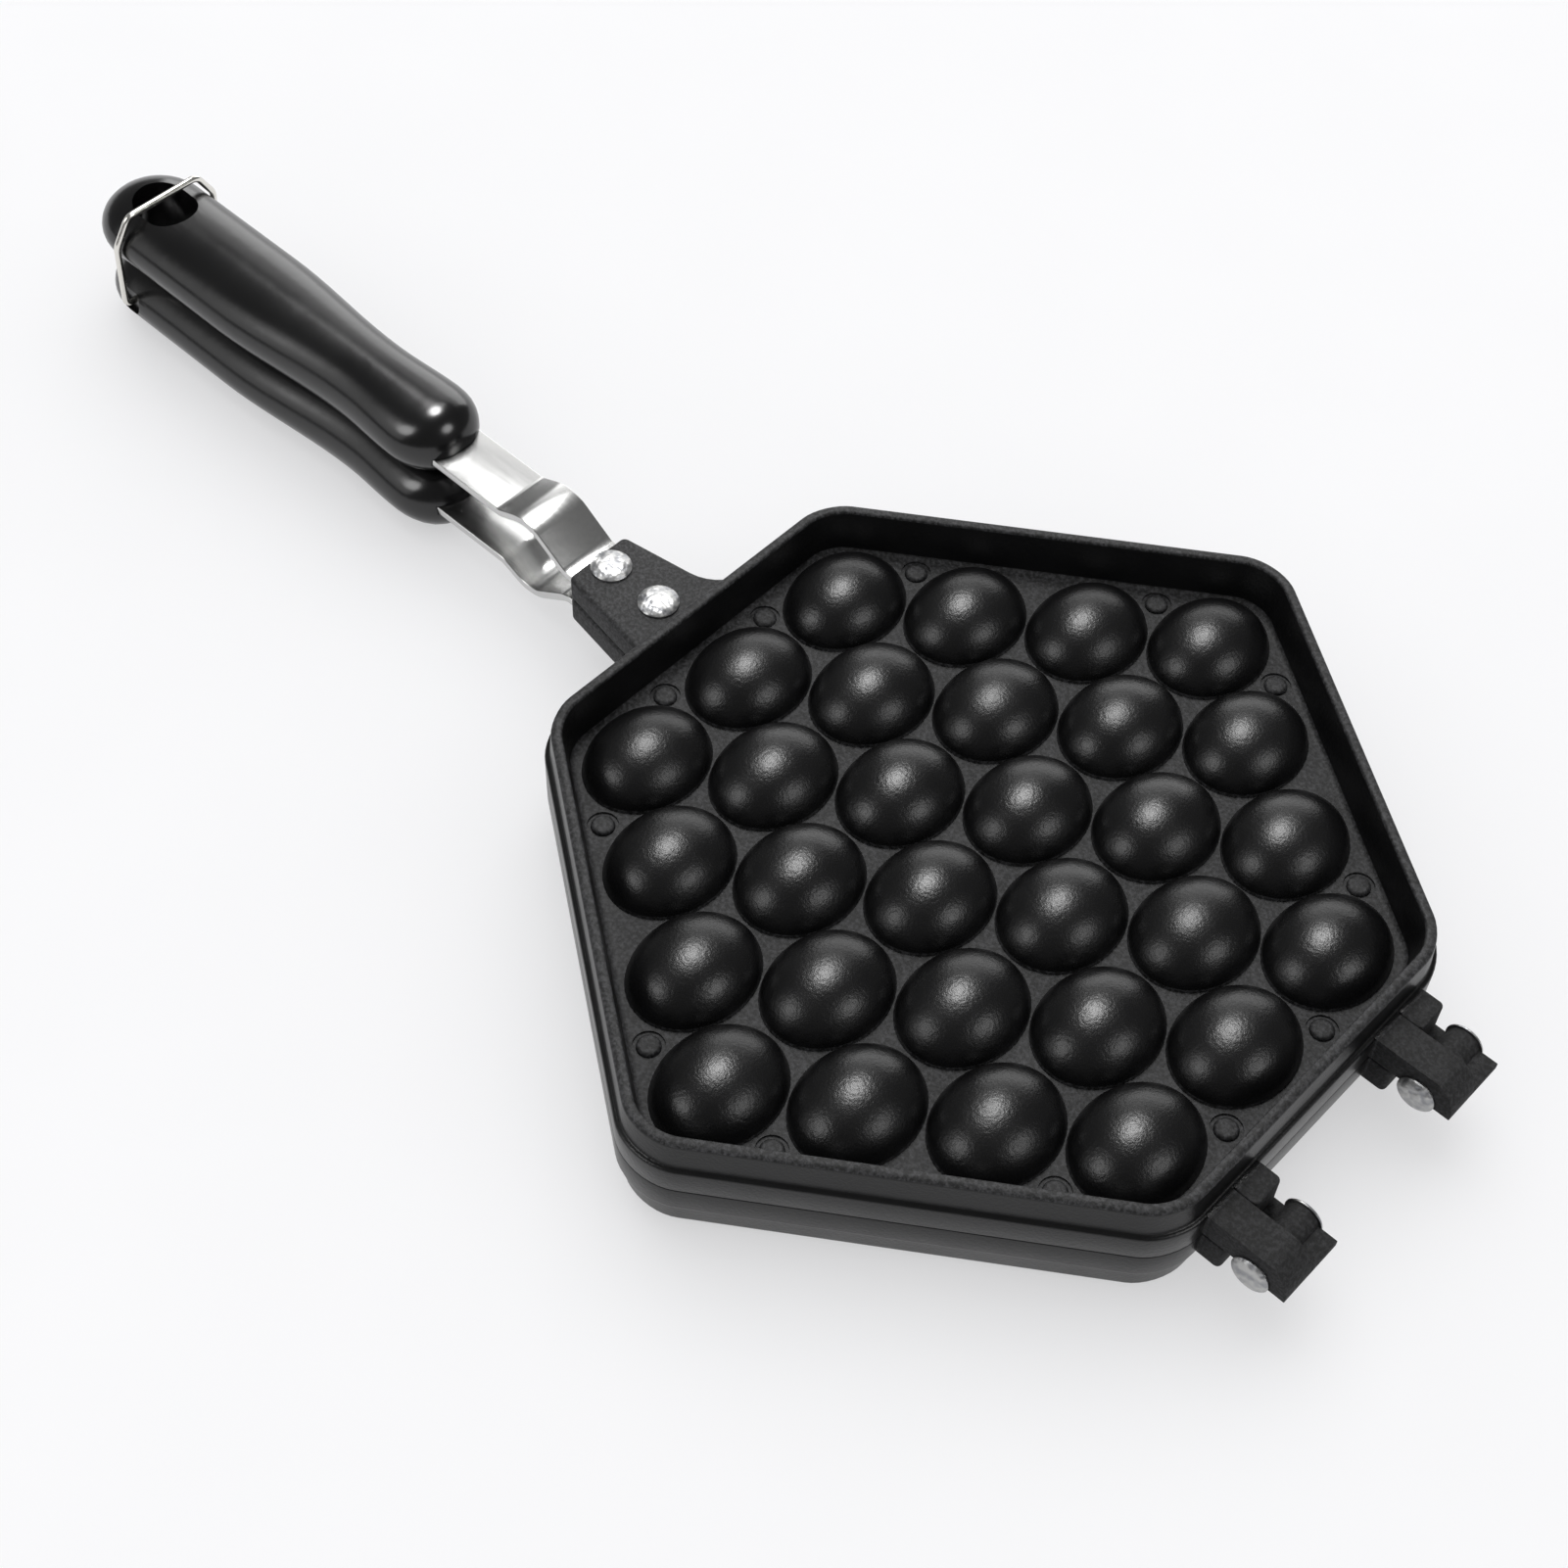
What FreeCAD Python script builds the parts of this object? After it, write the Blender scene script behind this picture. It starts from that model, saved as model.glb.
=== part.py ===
import FreeCAD, Part
import math
import os

from FreeCAD import Vector

# Egg waffle pan for the hob: two matching cast plates, hinged along one side, with a riveted
# strap and a moulded grip on each half and a wire clip that locks the two grips together.
# The model is worked out about the middle of the plates: +Z is up through the upper plate,
# the handles point along -X and the hinges lie at +X. The plates part on the plane Z = 0.
# The lower half is the upper half turned over about X. Every piece is then moved so that
# the origin lies under the middle of the whole pan, on the surface that it stands on.
# All sizes are in millimetres.

# Pocket pattern: columns along Y, set half a pocket over from one to the next
PITCH_Y = 31.1
PITCH_X = 22.2
COLUMNS = 7
MIDDLE_POCKETS = 6
DOME_GAP = 0.7
DOME_WIDTH_SHARE = 0.842
DOME_HEIGHT = 9.25
POCKET_WALL = 2.2
EGG_FOOT_ANGLE = 9.0
EGG_CROWN_SHARE = 0.45
DOME_SIDES = 10
DOME_RINGS = 2
POCKET_SIDES = 8
POCKET_RINGS = 2

# Plate: web, flange and raised rim, all on one long hexagon
SHEET_HALF_GAP = 1.1
WEB = 2.4
FLANGE_FLAT_MARGIN = 6.9
FLANGE_SLANT_MARGIN = 7.16
FLANGE_CORNER = 14.5
FLANGE_HEIGHT = 7.2
RIM_STEP = 1.1
RIM_OUTER_DRAFT = 0.5
RIM_OVER_DOMES = 1.85
RIM_WIDTH = 2.3
RIM_DRAFT = 1.4
RIM_BEVEL = 0.8
CORNER_STEPS = 4
SEAL_WIDTH = 7.3

# Handle lug on each plate
LUG_WALL = 1.2
LUG_END_WALL = 1.2
LUG_FLARE = 4.5
LUG_STEP = 0.2
LUG_ROOF = 2.0
LUG_CORNER = 1.5
LUG_FILLET = 4.5
LUG_LIP = 4.8

# Strap: pressed steel strip with a hump between plate and grip
STRAP_WIDTH = 14.4
STRAP_THICK = 2.0
STRAP_SIDE_PLAY = 0.3
STRAP_END_PLAY = 0.8
STRAP_KICK_RUN = 3.0
STRAP_CREST_RUN = 14.5
STRAP_CREST_RISE = 7.6
STRAP_FALL_RUN = 11.0
STRAP_NECK_RUN = 15.5
STRAP_TANG_LENGTH = 48.0
STRAP_BEND = 5.0
STRAP_TANG_BEND = 8.0

# Strap rivets
RIVET_EDGE = 6.0
RIVET_SPACING = 14.9
RIVET_RADIUS = 2.4
RIVET_HEAD_RADIUS = 4.7
RIVET_HEAD = 1.7
RIVET_TAIL_RADIUS = 3.9
RIVET_TAIL = 1.5
RIVET_BEVEL = 0.9
RIVET_BEVEL_RUN = 1.8
RIVET_PLAY = 0.05
RIVET_SIDES = 16

# Hinges
HINGE_REACH = 11.7
HINGE_SPACING = 54.2
HINGE_HALF_WIDTH = 8.2
HINGE_SIDE_PLAY = 0.1
STUB_CLEARANCE = 2.55
STUB_CORNER = 1.2
ARM_CROWN = 0.8
BARREL_RADIUS = 3.75
ARM_LIFT = 0.6
TAB_DEPTH = 1.0
PIN_RADIUS = 2.0
PIN_PLAY = 0.05
PIN_HEAD_RADIUS = 4.3
PIN_HEAD = 1.3

# Grips
GRIP_HALF = 13.75
GRIP_WAIST_HALF = 11.0
GRIP_NOSE_HALF = 12.05
GRIP_NOSE_REACH = 13.0
GRIP_NOSE_DROP = 8.0
GRIP_WAIST_RUN = 19.0
GRIP_SWELL_RUN = 42.0
GRIP_BODY_RUN = 36.75
GRIP_HALF_HEIGHT = 8.7
GRIP_HALF_GAP = 1.0
GRIP_FLAT_CUT = 0.5
GRIP_END_SHARE = 0.3
GRIP_SIDES = 14
GRIP_NOSE_STEPS = 4
GRIP_NECK_STEPS = 2
GRIP_BODY_STEPS = 4
GRIP_TIP_STEPS = 4
TANG_DROP = 1.2
TANG_PLAY = 0.15
HANG_HOLE_EDGE = 9.45
HANG_HOLE_HALF_LENGTH = 8.75
HANG_HOLE_HALF_WIDTH = 6.75
HANG_HOLE_END_FLAT = 0.25

# Grip screws, up from the flat inner face of each grip into the tang of its strap
SCREW_EDGE = 20.0
SCREW_RADIUS = 2.0
SCREW_HEAD_RADIUS = 3.1
SCREW_HEAD = 2.0
SCREW_SUNK = 0.6
SCREW_PLAY = 0.05
SCREW_HOLE_PLAY = 0.15
SCREW_HEAD_PLAY = 0.3
SCREW_TIP_REACH = 0.6

# Wire clip: a bail that turns in the lower grip and snaps over the end of the upper one
WIRE_RADIUS = 0.85
CLIP_PIVOT_EDGE = 15.0
CLIP_PIVOT_RISE = 1.2
CLIP_LEAN_RUN = 2.5
CLIP_BAR_LIFT = 0.25
CLIP_SHOULDER_RUN = 4.35
CLIP_LEG_PLAY = 0.25
CLIP_SHOULDER_DROP = 7.5
CLIP_FOOT_BEND = 2.0
CLIP_SHOULDER_BEND = 5.0
CLIP_BAR_BEND = 3.0
CLIP_BORE_PLAY = 0.06
CLIP_BORE_DEPTH = 4.0
CLIP_END_PLAY = 0.4
CLIP_RECESS_RADIUS = 3.4
CLIP_RECESS_DEPTH = 1.5
CLIP_SIDES = 10
CLIP_BEND_STEPS = 3

# How far a cutting tool runs past the face that it cuts
OVERRUN = 2.0

# Below this length two arcs of an outline meet with no straight between them
SHORTEST_EDGE = 0.001

# Places and sizes that follow from the ones above, from the middle of the plates outwards
DOME_HALF_Y = (PITCH_Y - DOME_GAP) / 2
DOME_HALF_X = DOME_HALF_Y * DOME_WIDTH_SHARE
LEAN = math.atan2(PITCH_Y / 2, PITCH_X)
FLANGE_FLAT = (COLUMNS - 1) / 2 * PITCH_X + DOME_HALF_X + FLANGE_FLAT_MARGIN
FLANGE_SLANT = ((MIDDLE_POCKETS - 1) / 2 * PITCH_Y * math.cos(LEAN) + FLANGE_SLANT_MARGIN
                + math.hypot(DOME_HALF_X * math.sin(LEAN), DOME_HALF_Y * math.cos(LEAN)))
WEB_TOP = SHEET_HALF_GAP + WEB
RIM_TOP = WEB_TOP + DOME_HEIGHT + RIM_OVER_DOMES
FITTING_ROOT = FLANGE_FLAT - RIM_STEP - RIM_WIDTH / 2
GRIP_MIDDLE_Z = GRIP_HALF_GAP + GRIP_HALF_HEIGHT - GRIP_FLAT_CUT
GRIP_TOP = GRIP_MIDDLE_Z + GRIP_HALF_HEIGHT
LUG_TOP = FLANGE_HEIGHT - LUG_STEP
LUG_POCKET_END = FLANGE_FLAT + LUG_END_WALL
STRAP_Z = LUG_TOP - LUG_ROOF - STRAP_THICK / 2
STRAP_TANG_Z = GRIP_MIDDLE_Z - TANG_DROP
STRAP_START = LUG_POCKET_END + STRAP_END_PLAY
RIVET_INNER = STRAP_START + RIVET_EDGE
RIVET_OUTER = RIVET_INNER + RIVET_SPACING
LUG_END = RIVET_OUTER + LUG_LIP
LUG_END_HALF = STRAP_WIDTH / 2 + STRAP_SIDE_PLAY + LUG_WALL
LUG_ROOT_HALF = LUG_END_HALF + LUG_FLARE
STRAP_KICK = LUG_END + STRAP_KICK_RUN
STRAP_CREST = STRAP_KICK + STRAP_CREST_RUN
STRAP_FALL = STRAP_CREST + STRAP_FALL_RUN
GRIP_FRONT = STRAP_FALL + STRAP_NECK_RUN
GRIP_WAIST_X = GRIP_FRONT + GRIP_NOSE_REACH + GRIP_WAIST_RUN
GRIP_SWELL_X = GRIP_WAIST_X + GRIP_SWELL_RUN
GRIP_TIP = GRIP_SWELL_X + GRIP_BODY_RUN + GRIP_HALF
STRAP_TANG_END = GRIP_FRONT + STRAP_TANG_LENGTH
SCREW_X = STRAP_TANG_END - SCREW_EDGE
HANG_HOLE_X = GRIP_TIP - HANG_HOLE_EDGE - HANG_HOLE_HALF_LENGTH
HINGE_X = FLANGE_FLAT + HINGE_REACH
STUB_END = HINGE_X - BARREL_RADIUS - STUB_CLEARANCE
ARM_RADIUS = FLANGE_HEIGHT + ARM_CROWN
CLIP_PIVOT_X = GRIP_TIP - CLIP_PIVOT_EDGE
CLIP_PIVOT_DROP = GRIP_MIDDLE_Z - CLIP_PIVOT_RISE
CLIP_BAR_X = CLIP_PIVOT_X - CLIP_LEAN_RUN
CLIP_BAR_Z = GRIP_TOP + CLIP_BAR_LIFT + WIRE_RADIUS
CLIP_REACH = math.hypot(CLIP_PIVOT_X - CLIP_BAR_X, CLIP_BAR_Z + CLIP_PIVOT_DROP)
CLIP_LEG_Y = GRIP_HALF + CLIP_LEG_PLAY + WIRE_RADIUS
CLIP_BAR_HALF = CLIP_LEG_Y - CLIP_SHOULDER_RUN
STAND_HEIGHT = max(GRIP_TOP, RIM_TOP)
MIDDLE_X = (HINGE_X + ARM_RADIUS - GRIP_TIP) / 2


def prism(face, low, high):
    """A flat outline at Z = 0, stood up from low to high."""
    face = face.copy()
    face.translate(Vector(0, 0, low))
    return face.extrude(Vector(0, 0, high - low))


def side_prism(face, near, far):
    """An outline drawn in X and Z, here as X and Y, run along Y from near to far."""
    face = face.copy()
    face.rotate(Vector(0, 0, 0), Vector(1, 0, 0), 90)
    face.translate(Vector(0, near, 0))
    return face.extrude(Vector(0, far - near, 0))


def rounded_outline(corners, radii):
    """A closed outline through the corners, each one rounded by its own radius."""
    edges = []
    count = len(corners)
    starts = []
    ends = []
    middles = []
    for index in range(count):
        corner = Vector(corners[index][0], corners[index][1], 0)
        before = Vector(corners[index - 1][0], corners[index - 1][1], 0)
        after = Vector(corners[(index + 1) % count][0], corners[(index + 1) % count][1], 0)
        arriving = (corner - before).normalize()
        leaving = (after - corner).normalize()
        turn = arriving.getAngle(leaving)
        reach = radii[index] * math.tan(turn / 2)
        inward = (leaving - arriving).normalize()
        starts.append(corner - arriving * reach)
        ends.append(corner + leaving * reach)
        middles.append(corner + inward * radii[index] * (1 / math.cos(turn / 2) - 1))
    for index in range(count):
        if radii[index] > 0:
            edges.append(Part.Arc(starts[index], middles[index], ends[index]).toShape())
        following = starts[(index + 1) % count]
        if (following - ends[index]).Length > SHORTEST_EDGE:
            edges.append(Part.makeLine(ends[index], following))
    return Part.Face(Part.Wire(edges))


def hexagon(flat, slant, corner):
    """The long hexagon of the plate, from its two half widths and its corner radius."""
    shoulder = (slant - flat * math.sin(LEAN)) / math.cos(LEAN)
    point = slant / math.cos(LEAN)
    corners = [(flat, -shoulder), (flat, shoulder), (0, point)]
    corners += [(-flat, shoulder), (-flat, -shoulder), (0, -point)]
    return rounded_outline(corners, [corner] * len(corners))


def inset_hexagon(inset):
    """The plate's hexagon, drawn in from the flange by one distance on all sides."""
    return hexagon(FLANGE_FLAT - inset, FLANGE_SLANT - inset, FLANGE_CORNER - inset)


def pocket_centres():
    """The middle of each pocket, column by column."""
    centres = []
    for column in range(COLUMNS):
        offset = column - (COLUMNS - 1) / 2
        count = MIDDLE_POCKETS - int(abs(offset))
        for row in range(count):
            centres.append((offset * PITCH_X, ((count - 1) / 2 - row) * PITCH_Y))
    return centres


def flat_face(points):
    return Part.Face(Part.makePolygon(points + [points[0]]))


def closed(faces):
    """A solid from all the faces of its skin."""
    solid = Part.makeSolid(Part.makeShell(faces))
    if solid.Volume < 0:
        solid.reverse()
    return solid


def stack(loops):
    """A solid in flat facets between loops of points that lie one over the other."""
    faces = [flat_face(loops[0]), flat_face(loops[-1])]
    count = len(loops[0])
    for lower, upper in zip(loops, loops[1:]):
        for side in range(count):
            after = (side + 1) % count
            faces.append(flat_face([lower[side], lower[after], upper[after], upper[side]]))
    return closed(faces)


def egg(centre, half_x, half_y, foot, crown, root, sides, rings):
    """Half an egg in flat facets, between its foot and crown, on a short straight root."""
    foot_angle = math.radians(EGG_FOOT_ANGLE)
    step = (math.pi / 2 - foot_angle) / (rings + EGG_CROWN_SHARE)
    angles = [foot_angle + step * ring for ring in range(rings + 1)]
    low = math.sin(angles[0])
    high = math.sin(angles[-1])
    corner_share = 2 / (1 + math.cos(math.pi / sides))
    levels = [(1.0, root)]
    for angle in angles:
        width_share = math.cos(angle) / math.cos(foot_angle)
        height_share = (math.sin(angle) - low) / (high - low)
        levels.append((width_share, foot + (crown - foot) * height_share))
    loops = []
    for width_share, height in levels:
        loop = []
        for side in range(sides):
            turn = 2 * math.pi * (side + 0.5) / sides
            across = half_x * width_share * corner_share * math.cos(turn)
            along = half_y * width_share * corner_share * math.sin(turn)
            loop.append(Vector(centre[0] + across, centre[1] + along, height))
        loops.append(loop)
    return stack(loops)


def domes():
    crown = WEB_TOP + DOME_HEIGHT
    root = SHEET_HALF_GAP + WEB / 2
    shapes = []
    for centre in pocket_centres():
        shapes.append(egg(centre, DOME_HALF_X, DOME_HALF_Y, WEB_TOP, crown, root,
                          DOME_SIDES, DOME_RINGS))
    return shapes


def pockets():
    half_x = DOME_HALF_X - POCKET_WALL
    half_y = DOME_HALF_Y - POCKET_WALL
    crown = WEB_TOP + DOME_HEIGHT - WEB
    root = SHEET_HALF_GAP / 2
    shapes = []
    for centre in pocket_centres():
        shapes.append(egg(centre, half_x, half_y, SHEET_HALF_GAP, crown, root,
                          POCKET_SIDES, POCKET_RINGS))
    return shapes


def hexagon_loop(inset, height):
    """The same hexagon as a loop of points, each corner in a few short steps."""
    flat = FLANGE_FLAT - inset
    slant = FLANGE_SLANT - inset
    corner = FLANGE_CORNER - inset
    shoulder = (slant - flat * math.sin(LEAN)) / math.cos(LEAN)
    point = slant / math.cos(LEAN)
    tips = [(flat, -shoulder), (flat, shoulder), (0, point)]
    tips += [(-flat, shoulder), (-flat, -shoulder), (0, -point)]
    loop = []
    for index, tip in enumerate(tips):
        here = Vector(tip[0], tip[1], 0)
        after = tips[(index + 1) % len(tips)]
        arriving = (here - Vector(tips[index - 1][0], tips[index - 1][1], 0)).normalize()
        leaving = (Vector(after[0], after[1], 0) - here).normalize()
        turn = arriving.getAngle(leaving)
        inward = (leaving - arriving * arriving.dot(leaving)).normalize()
        start = here - arriving * corner * math.tan(turn / 2)
        for step in range(CORNER_STEPS + 1):
            angle = turn * step / CORNER_STEPS
            place = start + arriving * corner * math.sin(angle)
            place += inward * corner * (1 - math.cos(angle))
            loop.append(place + Vector(0, 0, height))
    return loop


def rim():
    """Flange, upright wall with a little draft and an eased top edge, still solid inside."""
    flange = prism(inset_hexagon(0), 0, FLANGE_HEIGHT)
    low = FLANGE_HEIGHT / 2
    top = RIM_STEP + RIM_OUTER_DRAFT
    wall = stack([hexagon_loop(RIM_STEP, low), hexagon_loop(RIM_STEP, FLANGE_HEIGHT),
                  hexagon_loop(top, RIM_TOP - RIM_BEVEL), hexagon_loop(top + RIM_BEVEL, RIM_TOP)])
    return flange.fuse(wall)


def rim_hollow():
    """The open space over the web. Its walls lean outwards, so that the casting draws."""
    edge = RIM_STEP + RIM_OUTER_DRAFT + RIM_WIDTH
    slope = RIM_DRAFT / (RIM_TOP - WEB_TOP)
    return stack([hexagon_loop(edge + RIM_DRAFT, WEB_TOP),
                  hexagon_loop(edge - slope * OVERRUN, RIM_TOP + OVERRUN)])


def lug():
    """Flat lug for the strap: a roof on two side walls, open at its end and below."""
    corners = [(-LUG_END, -LUG_END_HALF), (-FLANGE_FLAT, -LUG_ROOT_HALF)]
    corners += [(-FLANGE_FLAT, -LUG_ROOT_HALF - 2 * LUG_FILLET)]
    corners += [(-FITTING_ROOT, -LUG_ROOT_HALF - 2 * LUG_FILLET)]
    corners += [(x, -y) for x, y in reversed(corners)]
    radii = [LUG_CORNER, LUG_FILLET, 0, 0, 0, 0, LUG_FILLET, LUG_CORNER]
    body = prism(rounded_outline(corners, radii), 0, LUG_TOP)
    half = STRAP_WIDTH / 2 + STRAP_SIDE_PLAY
    slot = Part.makeBox(LUG_END + OVERRUN - LUG_POCKET_END, 2 * half, LUG_TOP - LUG_ROOF + OVERRUN,
                        Vector(-LUG_END - OVERRUN, -half, -OVERRUN))
    return body, slot


def rivet_holes():
    holes = []
    for along in (RIVET_OUTER, RIVET_INNER):
        holes.append(Part.makeCylinder(RIVET_RADIUS + RIVET_PLAY, LUG_TOP + 2 * OVERRUN,
                                       Vector(-along, 0, -OVERRUN)))
    return holes


def hinge_centres():
    return [-HINGE_SPACING / 2, HINGE_SPACING / 2]


def hinge_arm(middle):
    """Hinge arm: flat on top, curved over the pin and down to the stop tab beyond it."""
    under_x = math.sqrt(BARREL_RADIUS ** 2 - ARM_LIFT ** 2)
    tab_x = math.sqrt(BARREL_RADIUS ** 2 - TAB_DEPTH ** 2)
    end_x = math.sqrt(ARM_RADIUS ** 2 - TAB_DEPTH ** 2)
    top_x = math.sqrt(ARM_RADIUS ** 2 - FLANGE_HEIGHT ** 2)
    half = ARM_RADIUS * math.sqrt(0.5)
    under = Vector(HINGE_X - under_x, ARM_LIFT, 0)
    belly = Vector(HINGE_X, -BARREL_RADIUS, 0)
    tab_root = Vector(HINGE_X + tab_x, -TAB_DEPTH, 0)
    tab_end = Vector(HINGE_X + end_x, -TAB_DEPTH, 0)
    shoulder = Vector(HINGE_X + half, half, 0)
    top = Vector(HINGE_X + top_x, FLANGE_HEIGHT, 0)
    root_top = Vector(FITTING_ROOT, FLANGE_HEIGHT, 0)
    root_low = Vector(FITTING_ROOT, ARM_LIFT, 0)
    edges = [Part.makeLine(root_low, under), Part.Arc(under, belly, tab_root).toShape()]
    edges += [Part.makeLine(tab_root, tab_end), Part.Arc(tab_end, shoulder, top).toShape()]
    edges += [Part.makeLine(top, root_top), Part.makeLine(root_top, root_low)]
    face = Part.Face(Part.Wire(edges))
    arm = side_prism(face, middle - HINGE_HALF_WIDTH, middle - HINGE_SIDE_PLAY / 2)
    bore = Part.makeCylinder(PIN_RADIUS + PIN_PLAY, 2 * HINGE_HALF_WIDTH + 2 * OVERRUN,
                             Vector(HINGE_X, middle - HINGE_HALF_WIDTH - OVERRUN, 0),
                             Vector(0, 1, 0))
    return arm.cut(bore)


def hinge_stub(middle):
    """Stub beside the arm, which the other plate's tab meets when the lid is open."""
    near = middle + HINGE_SIDE_PLAY / 2
    far = middle + HINGE_HALF_WIDTH
    corners = [(FITTING_ROOT, near), (STUB_END, near), (STUB_END, far), (FITTING_ROOT, far)]
    return prism(rounded_outline(corners, [0, STUB_CORNER, STUB_CORNER, 0]), 0, FLANGE_HEIGHT)


def plate():
    """One casting: domed web, rim, handle lug and hinge pieces."""
    body = rim().cut(rim_hollow())
    lug_body, lug_slot = lug()
    fittings = [lug_body]
    for middle in hinge_centres():
        fittings += [hinge_arm(middle), hinge_stub(middle)]
    body = body.multiFuse(fittings + domes())
    sheet = prism(inset_hexagon(SEAL_WIDTH), -OVERRUN, SHEET_HALF_GAP)
    return body.cut([sheet, lug_slot] + rivet_holes() + pockets())


def strap_profile():
    """The bent strip seen from the side, drawn about the line through its middle."""
    line = [(-STRAP_START, STRAP_Z), (-STRAP_KICK, STRAP_Z)]
    line += [(-STRAP_CREST, STRAP_Z + STRAP_CREST_RISE)]
    line += [(-STRAP_FALL, STRAP_TANG_Z), (-STRAP_TANG_END, STRAP_TANG_Z)]
    bends = [0, STRAP_BEND, -STRAP_BEND, STRAP_TANG_BEND, 0]
    half = STRAP_THICK / 2
    sides = []
    for side in (-1, 1):
        points = []
        radii = []
        for index, (x, z) in enumerate(line):
            here = Vector(x, z, 0)
            first = line[max(index - 1, 0)]
            last = line[min(index + 1, len(line) - 1)]
            arriving = here - Vector(first[0], first[1], 0)
            leaving = Vector(last[0], last[1], 0) - here
            if arriving.Length == 0:
                arriving = leaving
            if leaving.Length == 0:
                leaving = arriving
            along = (arriving.normalize() + leaving.normalize()).normalize()
            across = Vector(-along.y, along.x, 0) * side
            mitre = half / along.dot(leaving)
            points.append((x + across.x * mitre, z + across.y * mitre))
            bend = bends[index]
            radii.append(abs(bend) + math.copysign(half, bend) * side if bend else 0)
        sides.append((points, radii))
    points = sides[0][0] + sides[1][0][::-1]
    radii = sides[0][1] + sides[1][1][::-1]
    return rounded_outline(points, radii)


def strap():
    body = side_prism(strap_profile(), -STRAP_WIDTH / 2, STRAP_WIDTH / 2)
    tang_hole = Part.makeCylinder(SCREW_RADIUS + SCREW_PLAY, STRAP_THICK + 2 * OVERRUN,
                                  Vector(-SCREW_X, 0, STRAP_TANG_Z - STRAP_THICK / 2 - OVERRUN))
    return body.cut(rivet_holes() + [tang_hole])


def stacked(outline, place):
    """A round piece in flat facets, from pairs of radius and height of its outline."""
    loops = []
    for radius, height in outline:
        loop = []
        for side in range(RIVET_SIDES):
            turn = 2 * math.pi * side / RIVET_SIDES
            loop.append(place + Vector(radius * math.cos(turn), radius * math.sin(turn), height))
        loops.append(loop)
    return stack(loops)


def strap_rivet(along):
    """Rivet with a broad bevelled head above and a smaller formed tail below."""
    low = STRAP_Z - STRAP_THICK / 2
    outline = [(RIVET_TAIL_RADIUS, low - RIVET_TAIL), (RIVET_TAIL_RADIUS, low),
               (RIVET_RADIUS, low), (RIVET_RADIUS, LUG_TOP), (RIVET_HEAD_RADIUS, LUG_TOP),
               (RIVET_HEAD_RADIUS, LUG_TOP + RIVET_HEAD - RIVET_BEVEL),
               (RIVET_HEAD_RADIUS - RIVET_BEVEL_RUN, LUG_TOP + RIVET_HEAD)]
    return stacked(outline, Vector(-along, 0, 0))


def hinge_rivet(middle):
    """Hinge pin with a low head at each end."""
    half = HINGE_HALF_WIDTH + HINGE_SIDE_PLAY
    outline = [(PIN_HEAD_RADIUS, -half - PIN_HEAD), (PIN_HEAD_RADIUS, -half),
               (PIN_RADIUS, -half), (PIN_RADIUS, half), (PIN_HEAD_RADIUS, half),
               (PIN_HEAD_RADIUS, half + PIN_HEAD)]
    pin = stacked(outline, Vector())
    pin.rotate(Vector(), Vector(1, 0, 0), -90)
    pin.translate(Vector(HINGE_X, middle, 0))
    return pin


def grip_screw():
    """Screw whose head sits in the inner face of the grip."""
    low = GRIP_HALF_GAP + SCREW_SUNK
    high = STRAP_TANG_Z + STRAP_THICK / 2 + SCREW_TIP_REACH
    outline = [(SCREW_HEAD_RADIUS, low), (SCREW_HEAD_RADIUS, low + SCREW_HEAD),
               (SCREW_RADIUS, low + SCREW_HEAD), (SCREW_RADIUS, high)]
    return stacked(outline, Vector(-SCREW_X, 0, 0))


def eased(share):
    """A share of the way from one value to the next, level at both ends."""
    return (1 - math.cos(math.pi * share)) / 2


def grip_stations():
    """Distance along, half width and height share of each cross section of the grip."""
    stations = []
    nose_end = GRIP_FRONT + GRIP_NOSE_REACH
    tip_start = GRIP_TIP - GRIP_HALF
    first = math.asin(GRIP_END_SHARE)
    for step in range(GRIP_NOSE_STEPS):
        angle = first + (math.pi / 2 - first) * step / GRIP_NOSE_STEPS
        back = GRIP_NOSE_REACH * (1 - math.cos(angle) / math.cos(first))
        drop = max(1 - back / GRIP_NOSE_DROP, 0) * math.cos(first)
        stations.append((GRIP_FRONT + back, GRIP_NOSE_HALF * math.sin(angle),
                         math.sqrt(1 - drop ** 2)))
    for step in range(GRIP_NECK_STEPS):
        share = step / GRIP_NECK_STEPS
        half = GRIP_NOSE_HALF + (GRIP_WAIST_HALF - GRIP_NOSE_HALF) * eased(share)
        stations.append((nose_end + (GRIP_WAIST_X - nose_end) * share, half, 1.0))
    for step in range(GRIP_BODY_STEPS + 1):
        share = step / GRIP_BODY_STEPS
        half = GRIP_WAIST_HALF + (GRIP_HALF - GRIP_WAIST_HALF) * eased(share)
        stations.append((GRIP_WAIST_X + (GRIP_SWELL_X - GRIP_WAIST_X) * share, half, 1.0))
    for step in range(GRIP_TIP_STEPS + 1):
        angle = (math.pi / 2 - first) * step / GRIP_TIP_STEPS
        reach = GRIP_HALF * math.sin(angle) / math.cos(first)
        stations.append((tip_start + reach, GRIP_HALF * math.cos(angle), math.cos(angle)))
    return stations


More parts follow.
